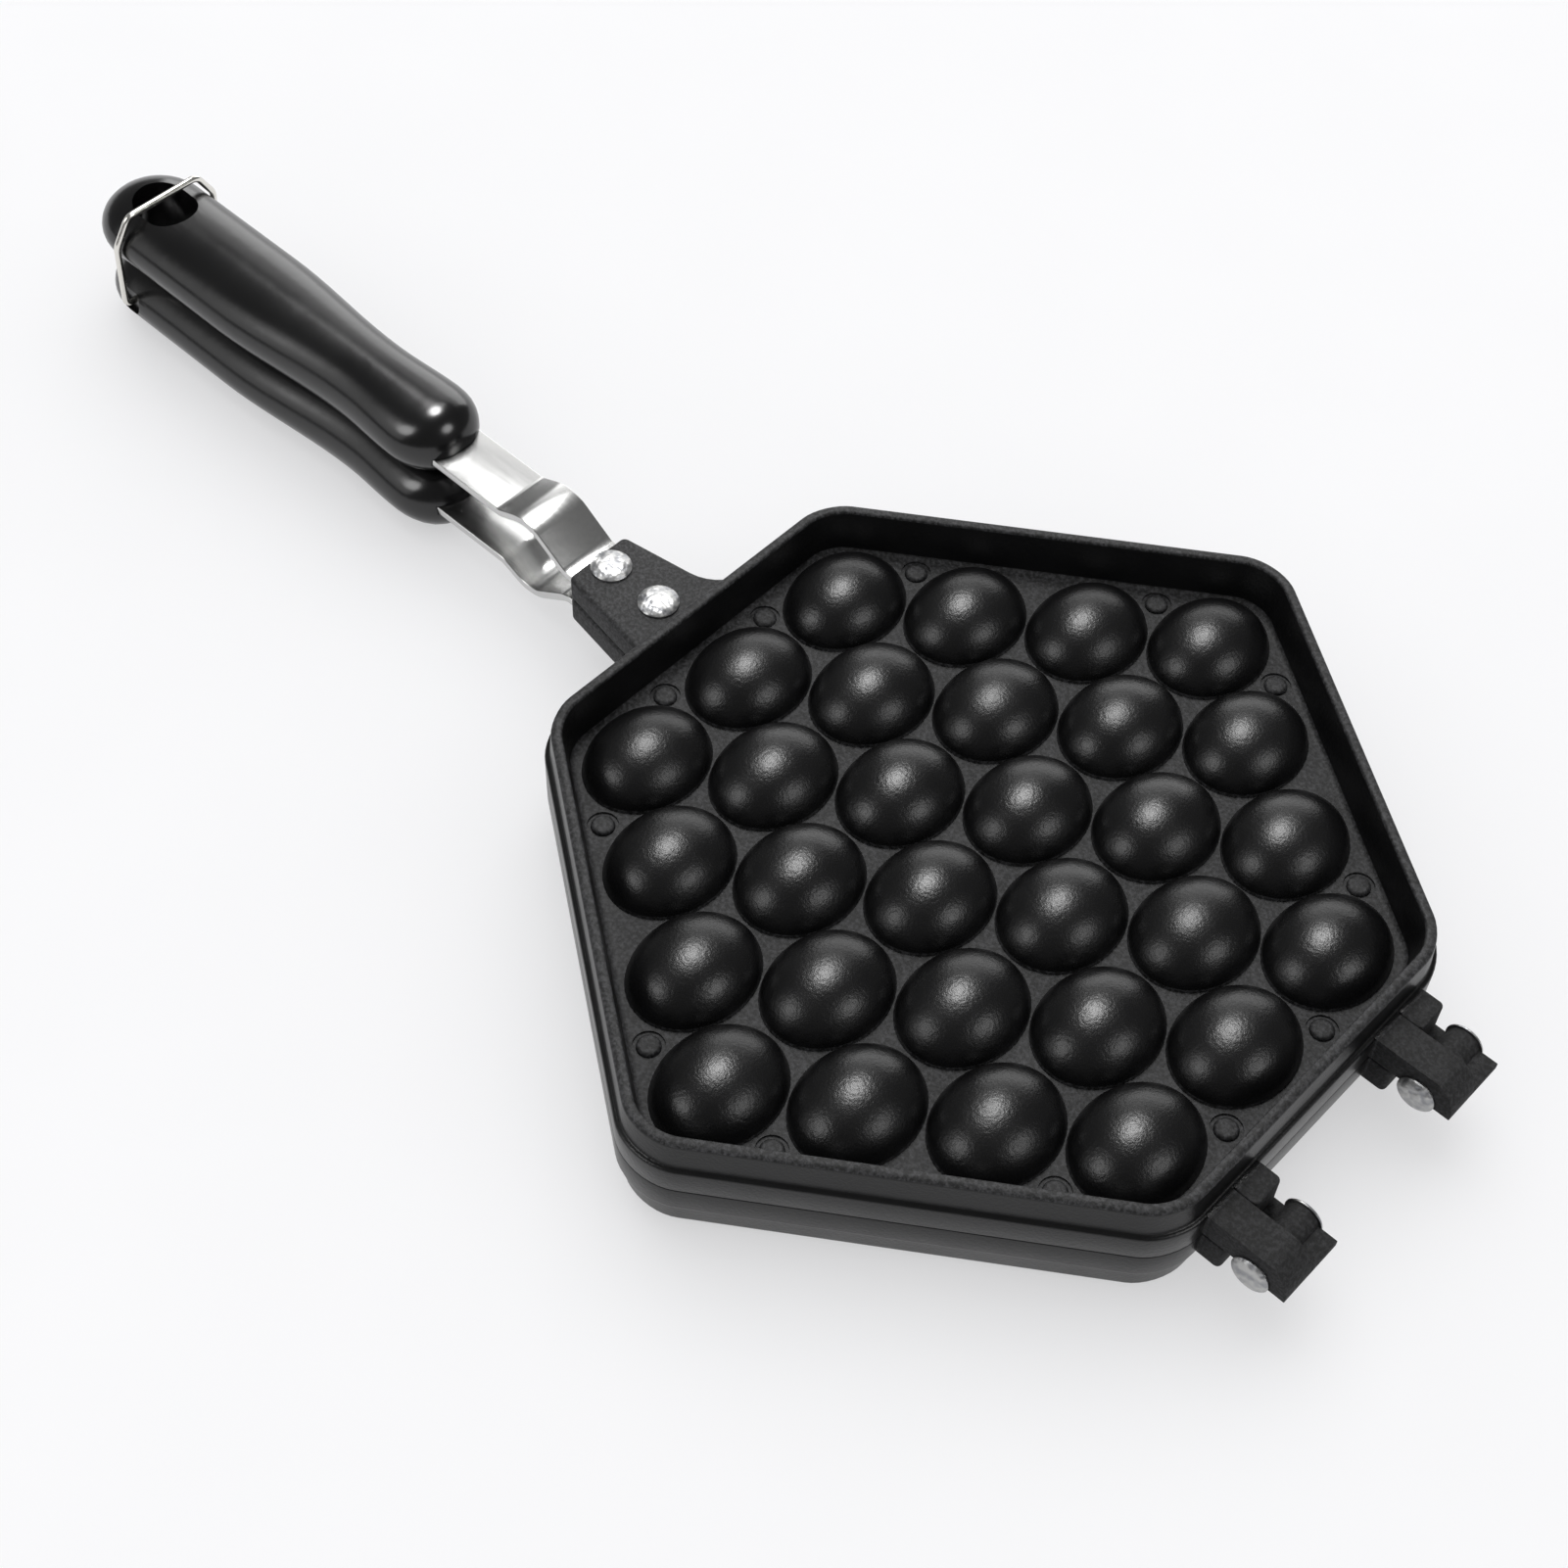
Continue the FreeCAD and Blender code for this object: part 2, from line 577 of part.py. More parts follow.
def grip_body():
    """Moulded grip: an oval bar, flat on its inner face, waisted behind its round nose."""
    flat_angle = math.asin((GRIP_HALF_GAP - GRIP_MIDDLE_Z) / GRIP_HALF_HEIGHT)
    loops = []
    for along, half, height_share in grip_stations():
        loop = []
        for side in range(GRIP_SIDES + 1):
            angle = flat_angle + (math.pi - 2 * flat_angle) * side / GRIP_SIDES
            loop.append(Vector(-along, half * math.cos(angle),
                               GRIP_MIDDLE_Z + GRIP_HALF_HEIGHT * height_share * math.sin(angle)))
        loops.append(loop)
    faces = [flat_face(loops[0]), flat_face(loops[-1])]
    for near, far in zip(loops, loops[1:]):
        for side in range(GRIP_SIDES):
            faces.append(flat_face([near[side], near[side + 1], far[side + 1]]))
            faces.append(flat_face([near[side], far[side + 1], far[side]]))
        faces.append(flat_face([near[-1], near[0], far[0], far[-1]]))
    return closed(faces)


def grip():
    """Grip with its tang slot, hang hole and screw hole."""
    half = STRAP_WIDTH / 2 + TANG_PLAY
    tang_low = STRAP_TANG_Z - STRAP_THICK / 2 - TANG_PLAY
    tang = Part.makeBox(STRAP_TANG_END + TANG_PLAY - GRIP_FRONT + OVERRUN, 2 * half,
                        STRAP_THICK + 2 * TANG_PLAY,
                        Vector(-STRAP_TANG_END - TANG_PLAY, -half, tang_low))
    low = GRIP_HALF_GAP
    hole = hang_hole(low - OVERRUN, GRIP_TOP + OVERRUN)
    head_top = low + SCREW_SUNK + SCREW_HEAD
    tip = STRAP_TANG_Z + STRAP_THICK / 2 + 2 * SCREW_TIP_REACH
    seat = stacked([(SCREW_HEAD_RADIUS + SCREW_HEAD_PLAY, low - OVERRUN),
                    (SCREW_HEAD_RADIUS + SCREW_HEAD_PLAY, head_top),
                    (SCREW_RADIUS + SCREW_HOLE_PLAY, head_top),
                    (SCREW_RADIUS + SCREW_HOLE_PLAY, tip)], Vector(-SCREW_X, 0, 0))
    return grip_body().cut([tang, hole, seat])


def hang_hole(low, high):
    length = HANG_HOLE_HALF_LENGTH
    width = HANG_HOLE_HALF_WIDTH
    corners = [(-HANG_HOLE_X - length, -width), (-HANG_HOLE_X + length, -width)]
    corners += [(-HANG_HOLE_X + length, width), (-HANG_HOLE_X - length, width)]
    radii = [width - HANG_HOLE_END_FLAT] * len(corners)
    return prism(rounded_outline(corners, radii), low, high)


def lower_grip():
    """The lower grip, turned over, with the bores and recesses for the feet of the clip."""
    body = turned_over(grip())
    floor = GRIP_HALF - CLIP_RECESS_DEPTH
    end = GRIP_HALF + OVERRUN
    for side in (-1, 1):
        outward = Vector(0, side, 0)
        recess_start = Vector(-CLIP_PIVOT_X, side * floor, -CLIP_PIVOT_DROP)
        bore_start = Vector(-CLIP_PIVOT_X, side * (floor - CLIP_BORE_DEPTH), -CLIP_PIVOT_DROP)
        recess = Part.makeCylinder(CLIP_RECESS_RADIUS, end - floor, recess_start, outward)
        bore = Part.makeCylinder(WIRE_RADIUS + CLIP_BORE_PLAY, end - floor + CLIP_BORE_DEPTH,
                                 bore_start, outward)
        body = body.cut(recess.fuse(bore))
    return body


def clip_line():
    """Middle line of the clip in its own flat plane, each bend in a few short steps."""
    foot = GRIP_HALF - CLIP_RECESS_DEPTH - CLIP_BORE_DEPTH + CLIP_END_PLAY
    corners = [(-foot, 0), (-CLIP_LEG_Y, 0), (-CLIP_LEG_Y, CLIP_REACH - CLIP_SHOULDER_DROP)]
    corners += [(-CLIP_BAR_HALF, CLIP_REACH)]
    corners += [(-y, z) for y, z in reversed(corners)]
    bends = [0, CLIP_FOOT_BEND, CLIP_SHOULDER_BEND, CLIP_BAR_BEND]
    bends += bends[::-1]
    line = [Vector(corners[0][0], corners[0][1], 0)]
    for index in range(1, len(corners) - 1):
        corner = Vector(corners[index][0], corners[index][1], 0)
        arriving = corner - Vector(corners[index - 1][0], corners[index - 1][1], 0)
        leaving = Vector(corners[index + 1][0], corners[index + 1][1], 0) - corner
        arriving.normalize()
        leaving.normalize()
        turn = arriving.getAngle(leaving)
        start = corner - arriving * bends[index] * math.tan(turn / 2)
        inward = leaving - arriving * arriving.dot(leaving)
        inward.normalize()
        for step in range(CLIP_BEND_STEPS + 1):
            angle = turn * step / CLIP_BEND_STEPS
            line.append(start + arriving * bends[index] * math.sin(angle)
                        + inward * bends[index] * (1 - math.cos(angle)))
    line.append(Vector(corners[-1][0], corners[-1][1], 0))
    return line


def wire_clip():
    """The bail, bent flat, then leaned from its pivot to where its bar rests."""
    line = clip_line()
    loops = []
    for index, here in enumerate(line):
        arriving = here - line[max(index - 1, 0)]
        leaving = line[min(index + 1, len(line) - 1)] - here
        arriving = arriving.normalize() if index > 0 else leaving.normalize()
        leaving = leaving.normalize() if index < len(line) - 1 else arriving
        along = (arriving + leaving).normalize()
        across = Vector(-along.y, along.x, 0) * (WIRE_RADIUS / along.dot(leaving))
        loop = []
        for side in range(CLIP_SIDES):
            turn = 2 * math.pi * side / CLIP_SIDES
            flat = here + across * math.cos(turn)
            loop.append(Vector(WIRE_RADIUS * math.sin(turn), flat.x, flat.y))
        loops.append(loop)
    clip = stack(loops)
    lean = math.degrees(math.asin((CLIP_PIVOT_X - CLIP_BAR_X) / CLIP_REACH))
    clip.rotate(Vector(0, 0, 0), Vector(0, 1, 0), lean)
    clip.translate(Vector(-CLIP_PIVOT_X, 0, -CLIP_PIVOT_DROP))
    return clip


def turned_over(shape):
    """The same piece on the lower half."""
    copy = shape.copy()
    copy.rotate(Vector(0, 0, 0), Vector(1, 0, 0), 180)
    return copy


def write(name, shape):
    shape = shape.copy()
    shape.translate(Vector(-MIDDLE_X, 0, STAND_HEIGHT))
    shape.exportStep("parts/" + name + ".step")


def main():
    os.makedirs("parts", exist_ok=True)
    casting = plate()
    write("upper_plate", casting)
    write("lower_plate", turned_over(casting))
    strip = strap()
    write("upper_strap", strip)
    write("lower_strap", turned_over(strip))
    for name, along in (("outer", RIVET_OUTER), ("inner", RIVET_INNER)):
        rivet = strap_rivet(along)
        write("upper_strap_rivet_" + name, rivet)
        write("lower_strap_rivet_" + name, turned_over(rivet))
    for name, middle in zip(("right", "left"), hinge_centres()):
        write("hinge_rivet_" + name, hinge_rivet(middle))
    write("upper_grip", grip())
    write("lower_grip", lower_grip())
    screw = grip_screw()
    write("upper_grip_screw", screw)
    write("lower_grip_screw", turned_over(screw))
    write("wire_clip", wire_clip())


main()
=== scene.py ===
import math

import bmesh
import bpy
from mathutils import Matrix, Vector


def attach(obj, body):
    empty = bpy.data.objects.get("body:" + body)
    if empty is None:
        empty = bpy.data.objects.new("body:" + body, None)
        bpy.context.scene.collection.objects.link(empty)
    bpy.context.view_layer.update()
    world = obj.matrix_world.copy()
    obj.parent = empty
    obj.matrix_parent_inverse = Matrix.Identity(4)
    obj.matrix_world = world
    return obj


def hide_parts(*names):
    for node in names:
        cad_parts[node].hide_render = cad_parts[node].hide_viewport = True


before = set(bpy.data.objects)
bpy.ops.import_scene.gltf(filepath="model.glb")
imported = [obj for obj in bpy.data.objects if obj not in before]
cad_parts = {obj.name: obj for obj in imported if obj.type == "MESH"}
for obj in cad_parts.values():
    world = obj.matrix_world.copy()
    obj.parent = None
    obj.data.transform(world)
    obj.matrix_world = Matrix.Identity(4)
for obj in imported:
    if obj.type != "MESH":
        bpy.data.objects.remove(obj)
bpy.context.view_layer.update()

# Egg plate castings. Each half is one aluminium casting: a long hexagonal pan with a stepped
# rim and thirty egg cups in its web, domed on the outside, hollow on the inside. It is die cast
# and lightly blasted, and the lower one is the upper one turned over.

MM = 0.001
PLATE_MIDDLE = Vector((0.08825, 0.0, 0.0179))
HAIR = 0.1  # corners and edges nearer than this, in mm, are at the same place
FACING = 0.9  # how far along an axis the normal of a face points that faces that way


def at(x, y, z):
    """A place in millimetres from the middle of the plates, on the plane where they part."""
    return PLATE_MIDDLE + Vector((x, y, z)) * MM


def put_down():
    """Leaves edit mode and deselects everything."""
    if bpy.context.object and bpy.context.object.mode == "EDIT":
        bpy.ops.object.mode_set(mode="OBJECT")
    bpy.ops.object.select_all(action="DESELECT")


def begin(name, primitive, scale=(1, 1, 1), **size):
    """Adds a primitive with its size and place in its mesh, and opens it, nothing selected."""
    put_down()
    primitive(**size)
    piece = bpy.context.object
    piece.name = name
    piece.data.name = name
    piece.scale = scale
    bpy.ops.object.transform_apply(location=True, rotation=True, scale=True)
    bpy.ops.object.mode_set(mode="EDIT")
    bpy.ops.mesh.select_all(action="DESELECT")
    return piece


def choose(piece, kind, test):
    """Selects the faces, edges or corners whose middle, in plate millimetres, passes the test."""
    bpy.ops.mesh.select_mode(type=kind)
    bpy.ops.mesh.select_all(action="DESELECT")
    mesh = bmesh.from_edit_mesh(piece.data)
    items = {"FACE": mesh.faces, "EDGE": mesh.edges, "VERT": mesh.verts}[kind]
    for item in items:
        corners = [item] if kind == "VERT" else list(item.verts)
        middle = sum((corner.co for corner in corners), Vector()) / len(corners)
        if test((middle - PLATE_MIDDLE) / MM, item):
            item.select_set(True)
    mesh.select_flush_mode()
    bmesh.update_edit_mesh(piece.data)


# the outline: a regular hexagon, then its own flat sides, with the corners rounded
TIP_Y = 104.1
REGULAR_X, REGULAR_Y = 90.15, 52.05
SIDE_X, SIDE_CORNER_Y = 86.3, 43.7
SIDE_ROUNDING, TIP_ROUNDING = 7.55, 10.15

upper_casting = begin("upper_casting", bpy.ops.mesh.primitive_circle_add, vertices=6,
                      radius=TIP_Y * MM, fill_type="NGON", location=at(0, 0, 0))
choose(upper_casting, "VERT", lambda spot, item: abs(spot.x) > HAIR)
bpy.ops.transform.resize(value=(SIDE_X / REGULAR_X, SIDE_CORNER_Y / REGULAR_Y, 1),
                         center_override=at(0, 0, 0))
bpy.ops.mesh.bevel(offset=SIDE_ROUNDING * MM, segments=8, affect="VERTICES")
choose(upper_casting, "VERT", lambda spot, item: abs(spot.y) > TIP_Y - HAIR)
bpy.ops.mesh.bevel(offset=TIP_ROUNDING * MM, segments=10, affect="VERTICES")


def ease(piece, share):
    """Marks the outline of the chosen face to be rounded, as a share of the largest radius."""
    mesh = bmesh.from_edit_mesh(piece.data)
    weight = mesh.edges.layers.float.get("bevel_weight_edge")
    if weight is None:
        weight = mesh.edges.layers.float.new("bevel_weight_edge")
    for face in mesh.faces:
        if face.select:
            for edge in face.edges:
                edge[weight] = share
    bmesh.update_edit_mesh(piece.data)


def pick_up(piece):
    """Makes a piece the active one and the only one selected, in object mode."""
    put_down()
    piece.select_set(True)
    bpy.context.view_layer.objects.active = piece


def finish_edges(piece, radius, segments, angle=None):
    """Rounds the marked edges, or with an angle all edges sharper than that."""
    pick_up(piece)
    rounding = piece.modifiers.new("rounding", "BEVEL")
    rounding.width = radius * MM
    rounding.segments = segments
    rounding.limit_method = "WEIGHT" if angle is None else "ANGLE"
    if angle is not None:
        rounding.angle_limit = math.radians(angle)
    bpy.ops.object.modifier_apply(modifier=rounding.name)


# the flange, the ledge, the rim's wall and top, and the fall to the web. Each step goes in and
# then up by its millimetres, and its outline gets its share of the largest rounding.
FLANGE_HIGH = 7.2
FLANGE_EASE = 0.55
RIM_STEPS = ((1.1, 0, 0.35), (0.5, 7.4, 0.9), (2.3, 0, 0.4), (1.4, -11.1, 0.9))
LARGEST_ROUNDING = 1.3

choose(upper_casting, "FACE", lambda spot, item: True)
bpy.ops.mesh.extrude_region_move(TRANSFORM_OT_translate={"value": (0, 0, FLANGE_HIGH * MM)})
ease(upper_casting, FLANGE_EASE)
for inward, upward, share in RIM_STEPS:
    bpy.ops.mesh.inset(thickness=inward * MM, depth=upward * MM)
    ease(upper_casting, share)

# the shallow hollow of the inner face, where the sheet between the eggs is baked
LAND_WIDE = 7.3
LAND_OUTER_EASE, LAND_INNER_EASE = 0.25, 0.15
SHEET_BATTER, SHEET_DEEP = 0.4, 1.1

choose(upper_casting, "FACE",
       lambda spot, item: spot.z < HAIR and abs(item.normal.z) > FACING)
ease(upper_casting, LAND_OUTER_EASE)
bpy.ops.mesh.inset(thickness=LAND_WIDE * MM, depth=0)
ease(upper_casting, LAND_INNER_EASE)
bpy.ops.mesh.inset(thickness=SHEET_BATTER * MM, depth=-SHEET_DEEP * MM)
bpy.ops.mesh.select_all(action="SELECT")
bpy.ops.mesh.normals_make_consistent(inside=False)
finish_edges(upper_casting, LARGEST_ROUNDING, segments=3)


def copied(piece, move):
    """A copy of a piece with a mesh of its own, moved by a matrix."""
    put_down()
    copy = piece.copy()
    copy.data = piece.data.copy()
    bpy.context.scene.collection.objects.link(copy)
    copy.data.transform(move)
    return copy


def join(pieces):
    """One object from several."""
    put_down()
    for piece in pieces:
        piece.select_set(True)
    bpy.context.view_layer.objects.active = pieces[0]
    bpy.ops.object.join()
    return pieces[0]


def fit(piece, tool, how):
    """Joins a closed tool shape to the piece, or cuts it out, and takes the tool away."""
    pick_up(piece)
    change = piece.modifiers.new("fit", "BOOLEAN")
    change.operation = how
    change.solver = "EXACT"
    change.object = tool
    bpy.ops.object.modifier_apply(modifier=change.name)
    bpy.data.objects.remove(tool)


# the cups stand in seven columns, six in the middle one and one less in each further out
PITCH_X, PITCH_Y = 22.2, 31.1
SIDE_COLUMNS, LONGEST_COLUMN = 3, 6
DOME_HALVES, DOME_MIDDLE_Z, DOME_CUT_Z = (12.95, 15.35, 11.0), 1.75, 3.0
HOLLOW_HALVES, HOLLOW_MIDDLE_Z, HOLLOW_CUT_Z = (10.85, 13.25, 9.95), 0.4, 0.6

cup_places = []
for column in range(-SIDE_COLUMNS, SIDE_COLUMNS + 1):
    in_column = LONGEST_COLUMN - abs(column)
    for row in range(in_column):
        cup_places.append((column * PITCH_X, ((in_column - 1) / 2 - row) * PITCH_Y))


def cups(name, halves, middle_z, cut_z):
    """Closed half eggs at all the places of the cups, cut level near their widest place."""
    egg = begin(name, bpy.ops.mesh.primitive_uv_sphere_add, segments=44, ring_count=22, radius=1,
                scale=[half * MM for half in halves], location=at(0, 0, middle_z))
    bpy.ops.mesh.select_all(action="SELECT")
    bpy.ops.mesh.bisect(plane_co=at(0, 0, cut_z), plane_no=(0, 0, 1), use_fill=True,
                        clear_inner=True)
    eggs = [copied(egg, Matrix.Translation(Vector((x, y, 0)) * MM)) for x, y in cup_places]
    bpy.data.objects.remove(egg)
    return join(eggs)


fit(upper_casting, cups("domes", DOME_HALVES, DOME_MIDDLE_Z, DOME_CUT_Z), "UNION")
fit(upper_casting, cups("hollows", HOLLOW_HALVES, HOLLOW_MIDDLE_Z, HOLLOW_CUT_Z), "DIFFERENCE")

# the round pads that the ejector pins of the die leave beside the rim, each in a shallow ring
EJECTOR_PLACES = ((76.6, 15.7), (61.4, 49.4), (16.7, 80.5))
WEB_HIGH = 3.5
RING_RADIUS, RING_CUT_HIGH = 3.4, 1.0
PAD_RADIUS, PAD_HIGH, PAD_MIDDLE_Z, PAD_ROUNDING = 2.6, 1.7, 3.15, 0.9

rings = []
pads = []
for ejector_x, ejector_y in EJECTOR_PLACES:
    for side_x in (-1, 1):
        for side_y in (-1, 1):
            x, y = side_x * ejector_x, side_y * ejector_y
            rings.append(begin("ring", bpy.ops.mesh.primitive_cylinder_add, vertices=28,
                               radius=RING_RADIUS * MM, depth=RING_CUT_HIGH * MM,
                               location=at(x, y, WEB_HIGH)))
            pad = begin("pad", bpy.ops.mesh.primitive_cylinder_add, vertices=28,
                        radius=PAD_RADIUS * MM, depth=PAD_HIGH * MM,
                        location=at(x, y, PAD_MIDDLE_Z))
            choose(pad, "FACE", lambda spot, item: item.normal.z > FACING)
            bpy.ops.mesh.bevel(offset=PAD_ROUNDING * MM, segments=5, affect="EDGES")
            pads.append(pad)
fit(upper_casting, join(rings), "DIFFERENCE")
fit(upper_casting, join(pads), "UNION")

# the lug for the strap: a flat tongue that widens to ears on the rim, with a small fillet on one
# root and a long one on the other, and a channel below for the strap
LUG_MIDDLE_X, LUG_LONG, LUG_BOTTOM_Z, LUG_THICK = -100.15, 27.7, 0.15, 6.85
LUG_END_WIDE, LUG_ROOT_WIDE = 17.4, 26.4
EAR_LONG, EAR_WIDE = 3.3, 12
ROOT_FILLETS = ((-1, 4.2), (1, 9.5))
LUG_CORNER, LUG_ROUNDING = 1.4, 1.1
CHANNEL_MIDDLE, CHANNEL_SIZE = (-101.75, 0, 1.0), (28.5, 15.0, 8.0)

lug = begin("lug", bpy.ops.mesh.primitive_plane_add, size=1,
            location=at(LUG_MIDDLE_X, 0, LUG_BOTTOM_Z),
            scale=(LUG_LONG * MM, LUG_END_WIDE * MM, 1))
choose(lug, "VERT", lambda spot, item: spot.x > LUG_MIDDLE_X)
bpy.ops.transform.resize(value=(1, LUG_ROOT_WIDE / LUG_END_WIDE, 1),
                         center_override=at(-SIDE_X, 0, LUG_BOTTOM_Z))
choose(lug, "EDGE", lambda spot, item: spot.x > -SIDE_X - HAIR)
bpy.ops.mesh.extrude_region_move(TRANSFORM_OT_translate={"value": (EAR_LONG * MM, 0, 0)})
for side in (-1, 1):
    choose(lug, "EDGE", lambda spot, item: spot.x > HAIR - SIDE_X and spot.y * side > HAIR)
    bpy.ops.mesh.extrude_region_move(TRANSFORM_OT_translate={
        "value": (0, side * EAR_WIDE * MM, 0)})
bpy.ops.mesh.select_mode(type="FACE")
bpy.ops.mesh.select_all(action="SELECT")
bpy.ops.mesh.dissolve_faces()
for side, fillet in ROOT_FILLETS:
    choose(lug, "VERT", lambda spot, item: abs(spot.x + SIDE_X) < HAIR
           and abs(spot.y * side - LUG_ROOT_WIDE / 2) < HAIR)
    bpy.ops.mesh.bevel(offset=fillet * MM, segments=8, affect="VERTICES")
choose(lug, "VERT", lambda spot, item: spot.x < LUG_MIDDLE_X)
bpy.ops.mesh.bevel(offset=LUG_CORNER * MM, segments=4, affect="VERTICES")
choose(lug, "FACE", lambda spot, item: True)
bpy.ops.mesh.extrude_region_move(TRANSFORM_OT_translate={"value": (0, 0, LUG_THICK * MM)})
bpy.ops.mesh.select_all(action="SELECT")
bpy.ops.mesh.normals_make_consistent(inside=False)
finish_edges(lug, LUG_ROUNDING, segments=4, angle=40)
fit(lug, begin("channel", bpy.ops.mesh.primitive_cube_add, size=1, location=at(*CHANNEL_MIDDLE),
               scale=[side * MM for side in CHANNEL_SIZE]), "DIFFERENCE")
fit(upper_casting, lug, "UNION")


DOUBLES_WITHIN = 0.002


def close_up(piece, smooth_angle):
    """Merges doubles, turns all faces outwards, leaves edit mode and smooths the shading."""
    pick_up(piece)
    bpy.ops.object.mode_set(mode="EDIT")
    bpy.ops.mesh.select_mode(type="VERT")
    bpy.ops.mesh.select_all(action="SELECT")
    bpy.ops.mesh.remove_doubles(threshold=DOUBLES_WITHIN * MM)
    bpy.ops.mesh.normals_make_consistent(inside=False)
    bpy.ops.object.mode_set(mode="OBJECT")
    bpy.ops.object.shade_smooth_by_angle(angle=math.radians(smooth_angle))


CAST_SMOOTH_ANGLE = 32
close_up(upper_casting, CAST_SMOOTH_ANGLE)

# Hinge arms and stubs. They are cast in one piece with each plate: an arm that curves over the
# pin down to a stop, with a barrel bored for the pin, and a short block beside it that the
# other plate's stop comes to rest on.

HINGES_Y = (-27.1, 27.1)
HINGE_X = 98
KNUCKLE_WIDE, KNUCKLE_STEP = 8.1, 4.15
ARM_RADIUS, ARM_BOTTOM_Z, ARM_BACK_X = 8.0, -1.0, 98.2
BAR_MIDDLE_X, BAR_LONG, BAR_MIDDLE_Z, BAR_THICK = 91.3, 14.0, 3.9, 6.6
BARREL_RADIUS, BORE_RADIUS, BORE_CUT_LONG = 3.75, 2.05, 12
ARM_ROUNDING = 0.8
STUB_MIDDLE_X, STUB_LONG = 88.35, 6.7
STUB_CORNER, STUB_ROUNDING = 1.2, 0.4
ALONG_Y = (math.pi / 2, 0, 0)

fittings = []
for hinge_y in HINGES_Y:
    arm_y = hinge_y - KNUCKLE_STEP
    on_pin = at(HINGE_X, arm_y, 0)
    arm = begin("arm", bpy.ops.mesh.primitive_cylinder_add, vertices=72, radius=ARM_RADIUS * MM,
                depth=KNUCKLE_WIDE * MM, location=on_pin, rotation=ALONG_Y)
    for plane, normal, keep_beyond in ((at(0, 0, ARM_BOTTOM_Z), (0, 0, 1), True),
                                       (at(0, 0, FLANGE_HIGH), (0, 0, 1), False),
                                       (at(ARM_BACK_X, 0, 0), (1, 0, 0), True)):
        bpy.ops.mesh.select_all(action="SELECT")
        bpy.ops.mesh.bisect(plane_co=plane, plane_no=normal, use_fill=True,
                            clear_inner=keep_beyond, clear_outer=not keep_beyond)
    fit(arm, begin("bar", bpy.ops.mesh.primitive_cube_add, size=1,
                   location=at(BAR_MIDDLE_X, arm_y, BAR_MIDDLE_Z),
                   scale=(BAR_LONG * MM, KNUCKLE_WIDE * MM, BAR_THICK * MM)), "UNION")
    fit(arm, begin("barrel", bpy.ops.mesh.primitive_cylinder_add, vertices=48,
                   radius=BARREL_RADIUS * MM, depth=KNUCKLE_WIDE * MM, location=on_pin,
                   rotation=ALONG_Y), "UNION")
    fit(arm, begin("bore", bpy.ops.mesh.primitive_cylinder_add, vertices=32,
                   radius=BORE_RADIUS * MM, depth=BORE_CUT_LONG * MM, location=on_pin,
                   rotation=ALONG_Y), "DIFFERENCE")
    finish_edges(arm, ARM_ROUNDING, segments=4, angle=38)
    stub = begin("stub", bpy.ops.mesh.primitive_cube_add, size=1,
                 location=at(STUB_MIDDLE_X, hinge_y + KNUCKLE_STEP, FLANGE_HIGH / 2),
                 scale=(STUB_LONG * MM, KNUCKLE_WIDE * MM, FLANGE_HIGH * MM))
    choose(stub, "EDGE", lambda spot, item: spot.x > STUB_MIDDLE_X + HAIR
           and abs(spot.z - FLANGE_HIGH / 2) < HAIR)
    bpy.ops.mesh.bevel(offset=STUB_CORNER * MM, segments=4, affect="EDGES")
    finish_edges(stub, STUB_ROUNDING, segments=3, angle=50)
    fittings += [arm, stub]
for piece in fittings:
    close_up(piece, CAST_SMOOTH_ANGLE)
upper_casting = join([upper_casting] + fittings)
turn_over = (Matrix.Translation(PLATE_MIDDLE) @ Matrix.Rotation(math.pi, 4, "X")
             @ Matrix.Translation(-PLATE_MIDDLE))
lower_casting = copied(upper_casting, turn_over)
lower_casting.name = "lower_casting"

# Black non-stick coat on the castings, sprayed and baked. The domes and walls are smooth satin,
# and the web, the rim's top, the lug and the hinge arms keep the rough skin of the blasted metal,
# with painted glints, pale flecks in its colour that stand for light caught by its grain. The
# grain is drawn at 0.8 mm, coarser than the real 0.3 mm, to show.

GRAIN, MOTTLE = 0.8, 12
WEB_SKIN_Z, RIM_SKIN_Z = 4.3, 13.9
WEB_SKIN_X, WEB_SKIN_SLANT = 81.4, 80.4
LUG_SKIN_X, HINGE_SKIN_X = 86.5, 87.0
# how far the slanting sides face away from the tips, in radians
SLANT_TURN = math.atan2(TIP_Y - SIDE_CORNER_Y, SIDE_X)
SMOOTH_BUMP, ROUGH_BUMP_MORE = 0.14, 0.1
# how much rougher the rough skin is, how much rougher still the hinge arms are, and how much
# weaker their painted glints are
ROUGH_SKIN_MORE, HINGE_SKIN_MORE, HINGE_PAINTED_GLINTS_LESS = 0.36, 0.14, -0.5
NOISE_LOW, NOISE_HIGH = 0.3, 0.7  # a noise mostly keeps between these
MIX_FACTOR, MIX_FIRST, MIX_SECOND, MIX_COLOUR = 0, 6, 7, 2  # a Mix node's sockets for colours


def linear(code):
    """An sRGB hex colour as linear red, green, blue and alpha."""
    parts = [int(code[place:place + 2], 16) / 255 for place in (1, 3, 5)]
    return [part / 12.92 if part <= 0.04045 else ((part + 0.055) / 1.055) ** 2.4
            for part in parts] + [1.0]


def add(material, kind, inputs=None, stops=(), **settings):
    """Adds a node. An input that is a node or a socket is linked, and any other is set."""
    made = material.node_tree.nodes.new(kind)
    for name, value in settings.items():
        setattr(made, name, value)
    for number, (position, colour) in enumerate(stops):
        made.color_ramp.elements[number].position = position
        made.color_ramp.elements[number].color = colour
    for name, value in (inputs or {}).items():
        source = value.outputs[0] if isinstance(value, bpy.types.Node) else value
        if isinstance(source, bpy.types.NodeSocket):
            material.node_tree.links.new(source, made.inputs[name])
        else:
            made.inputs[name].default_value = source
    return made


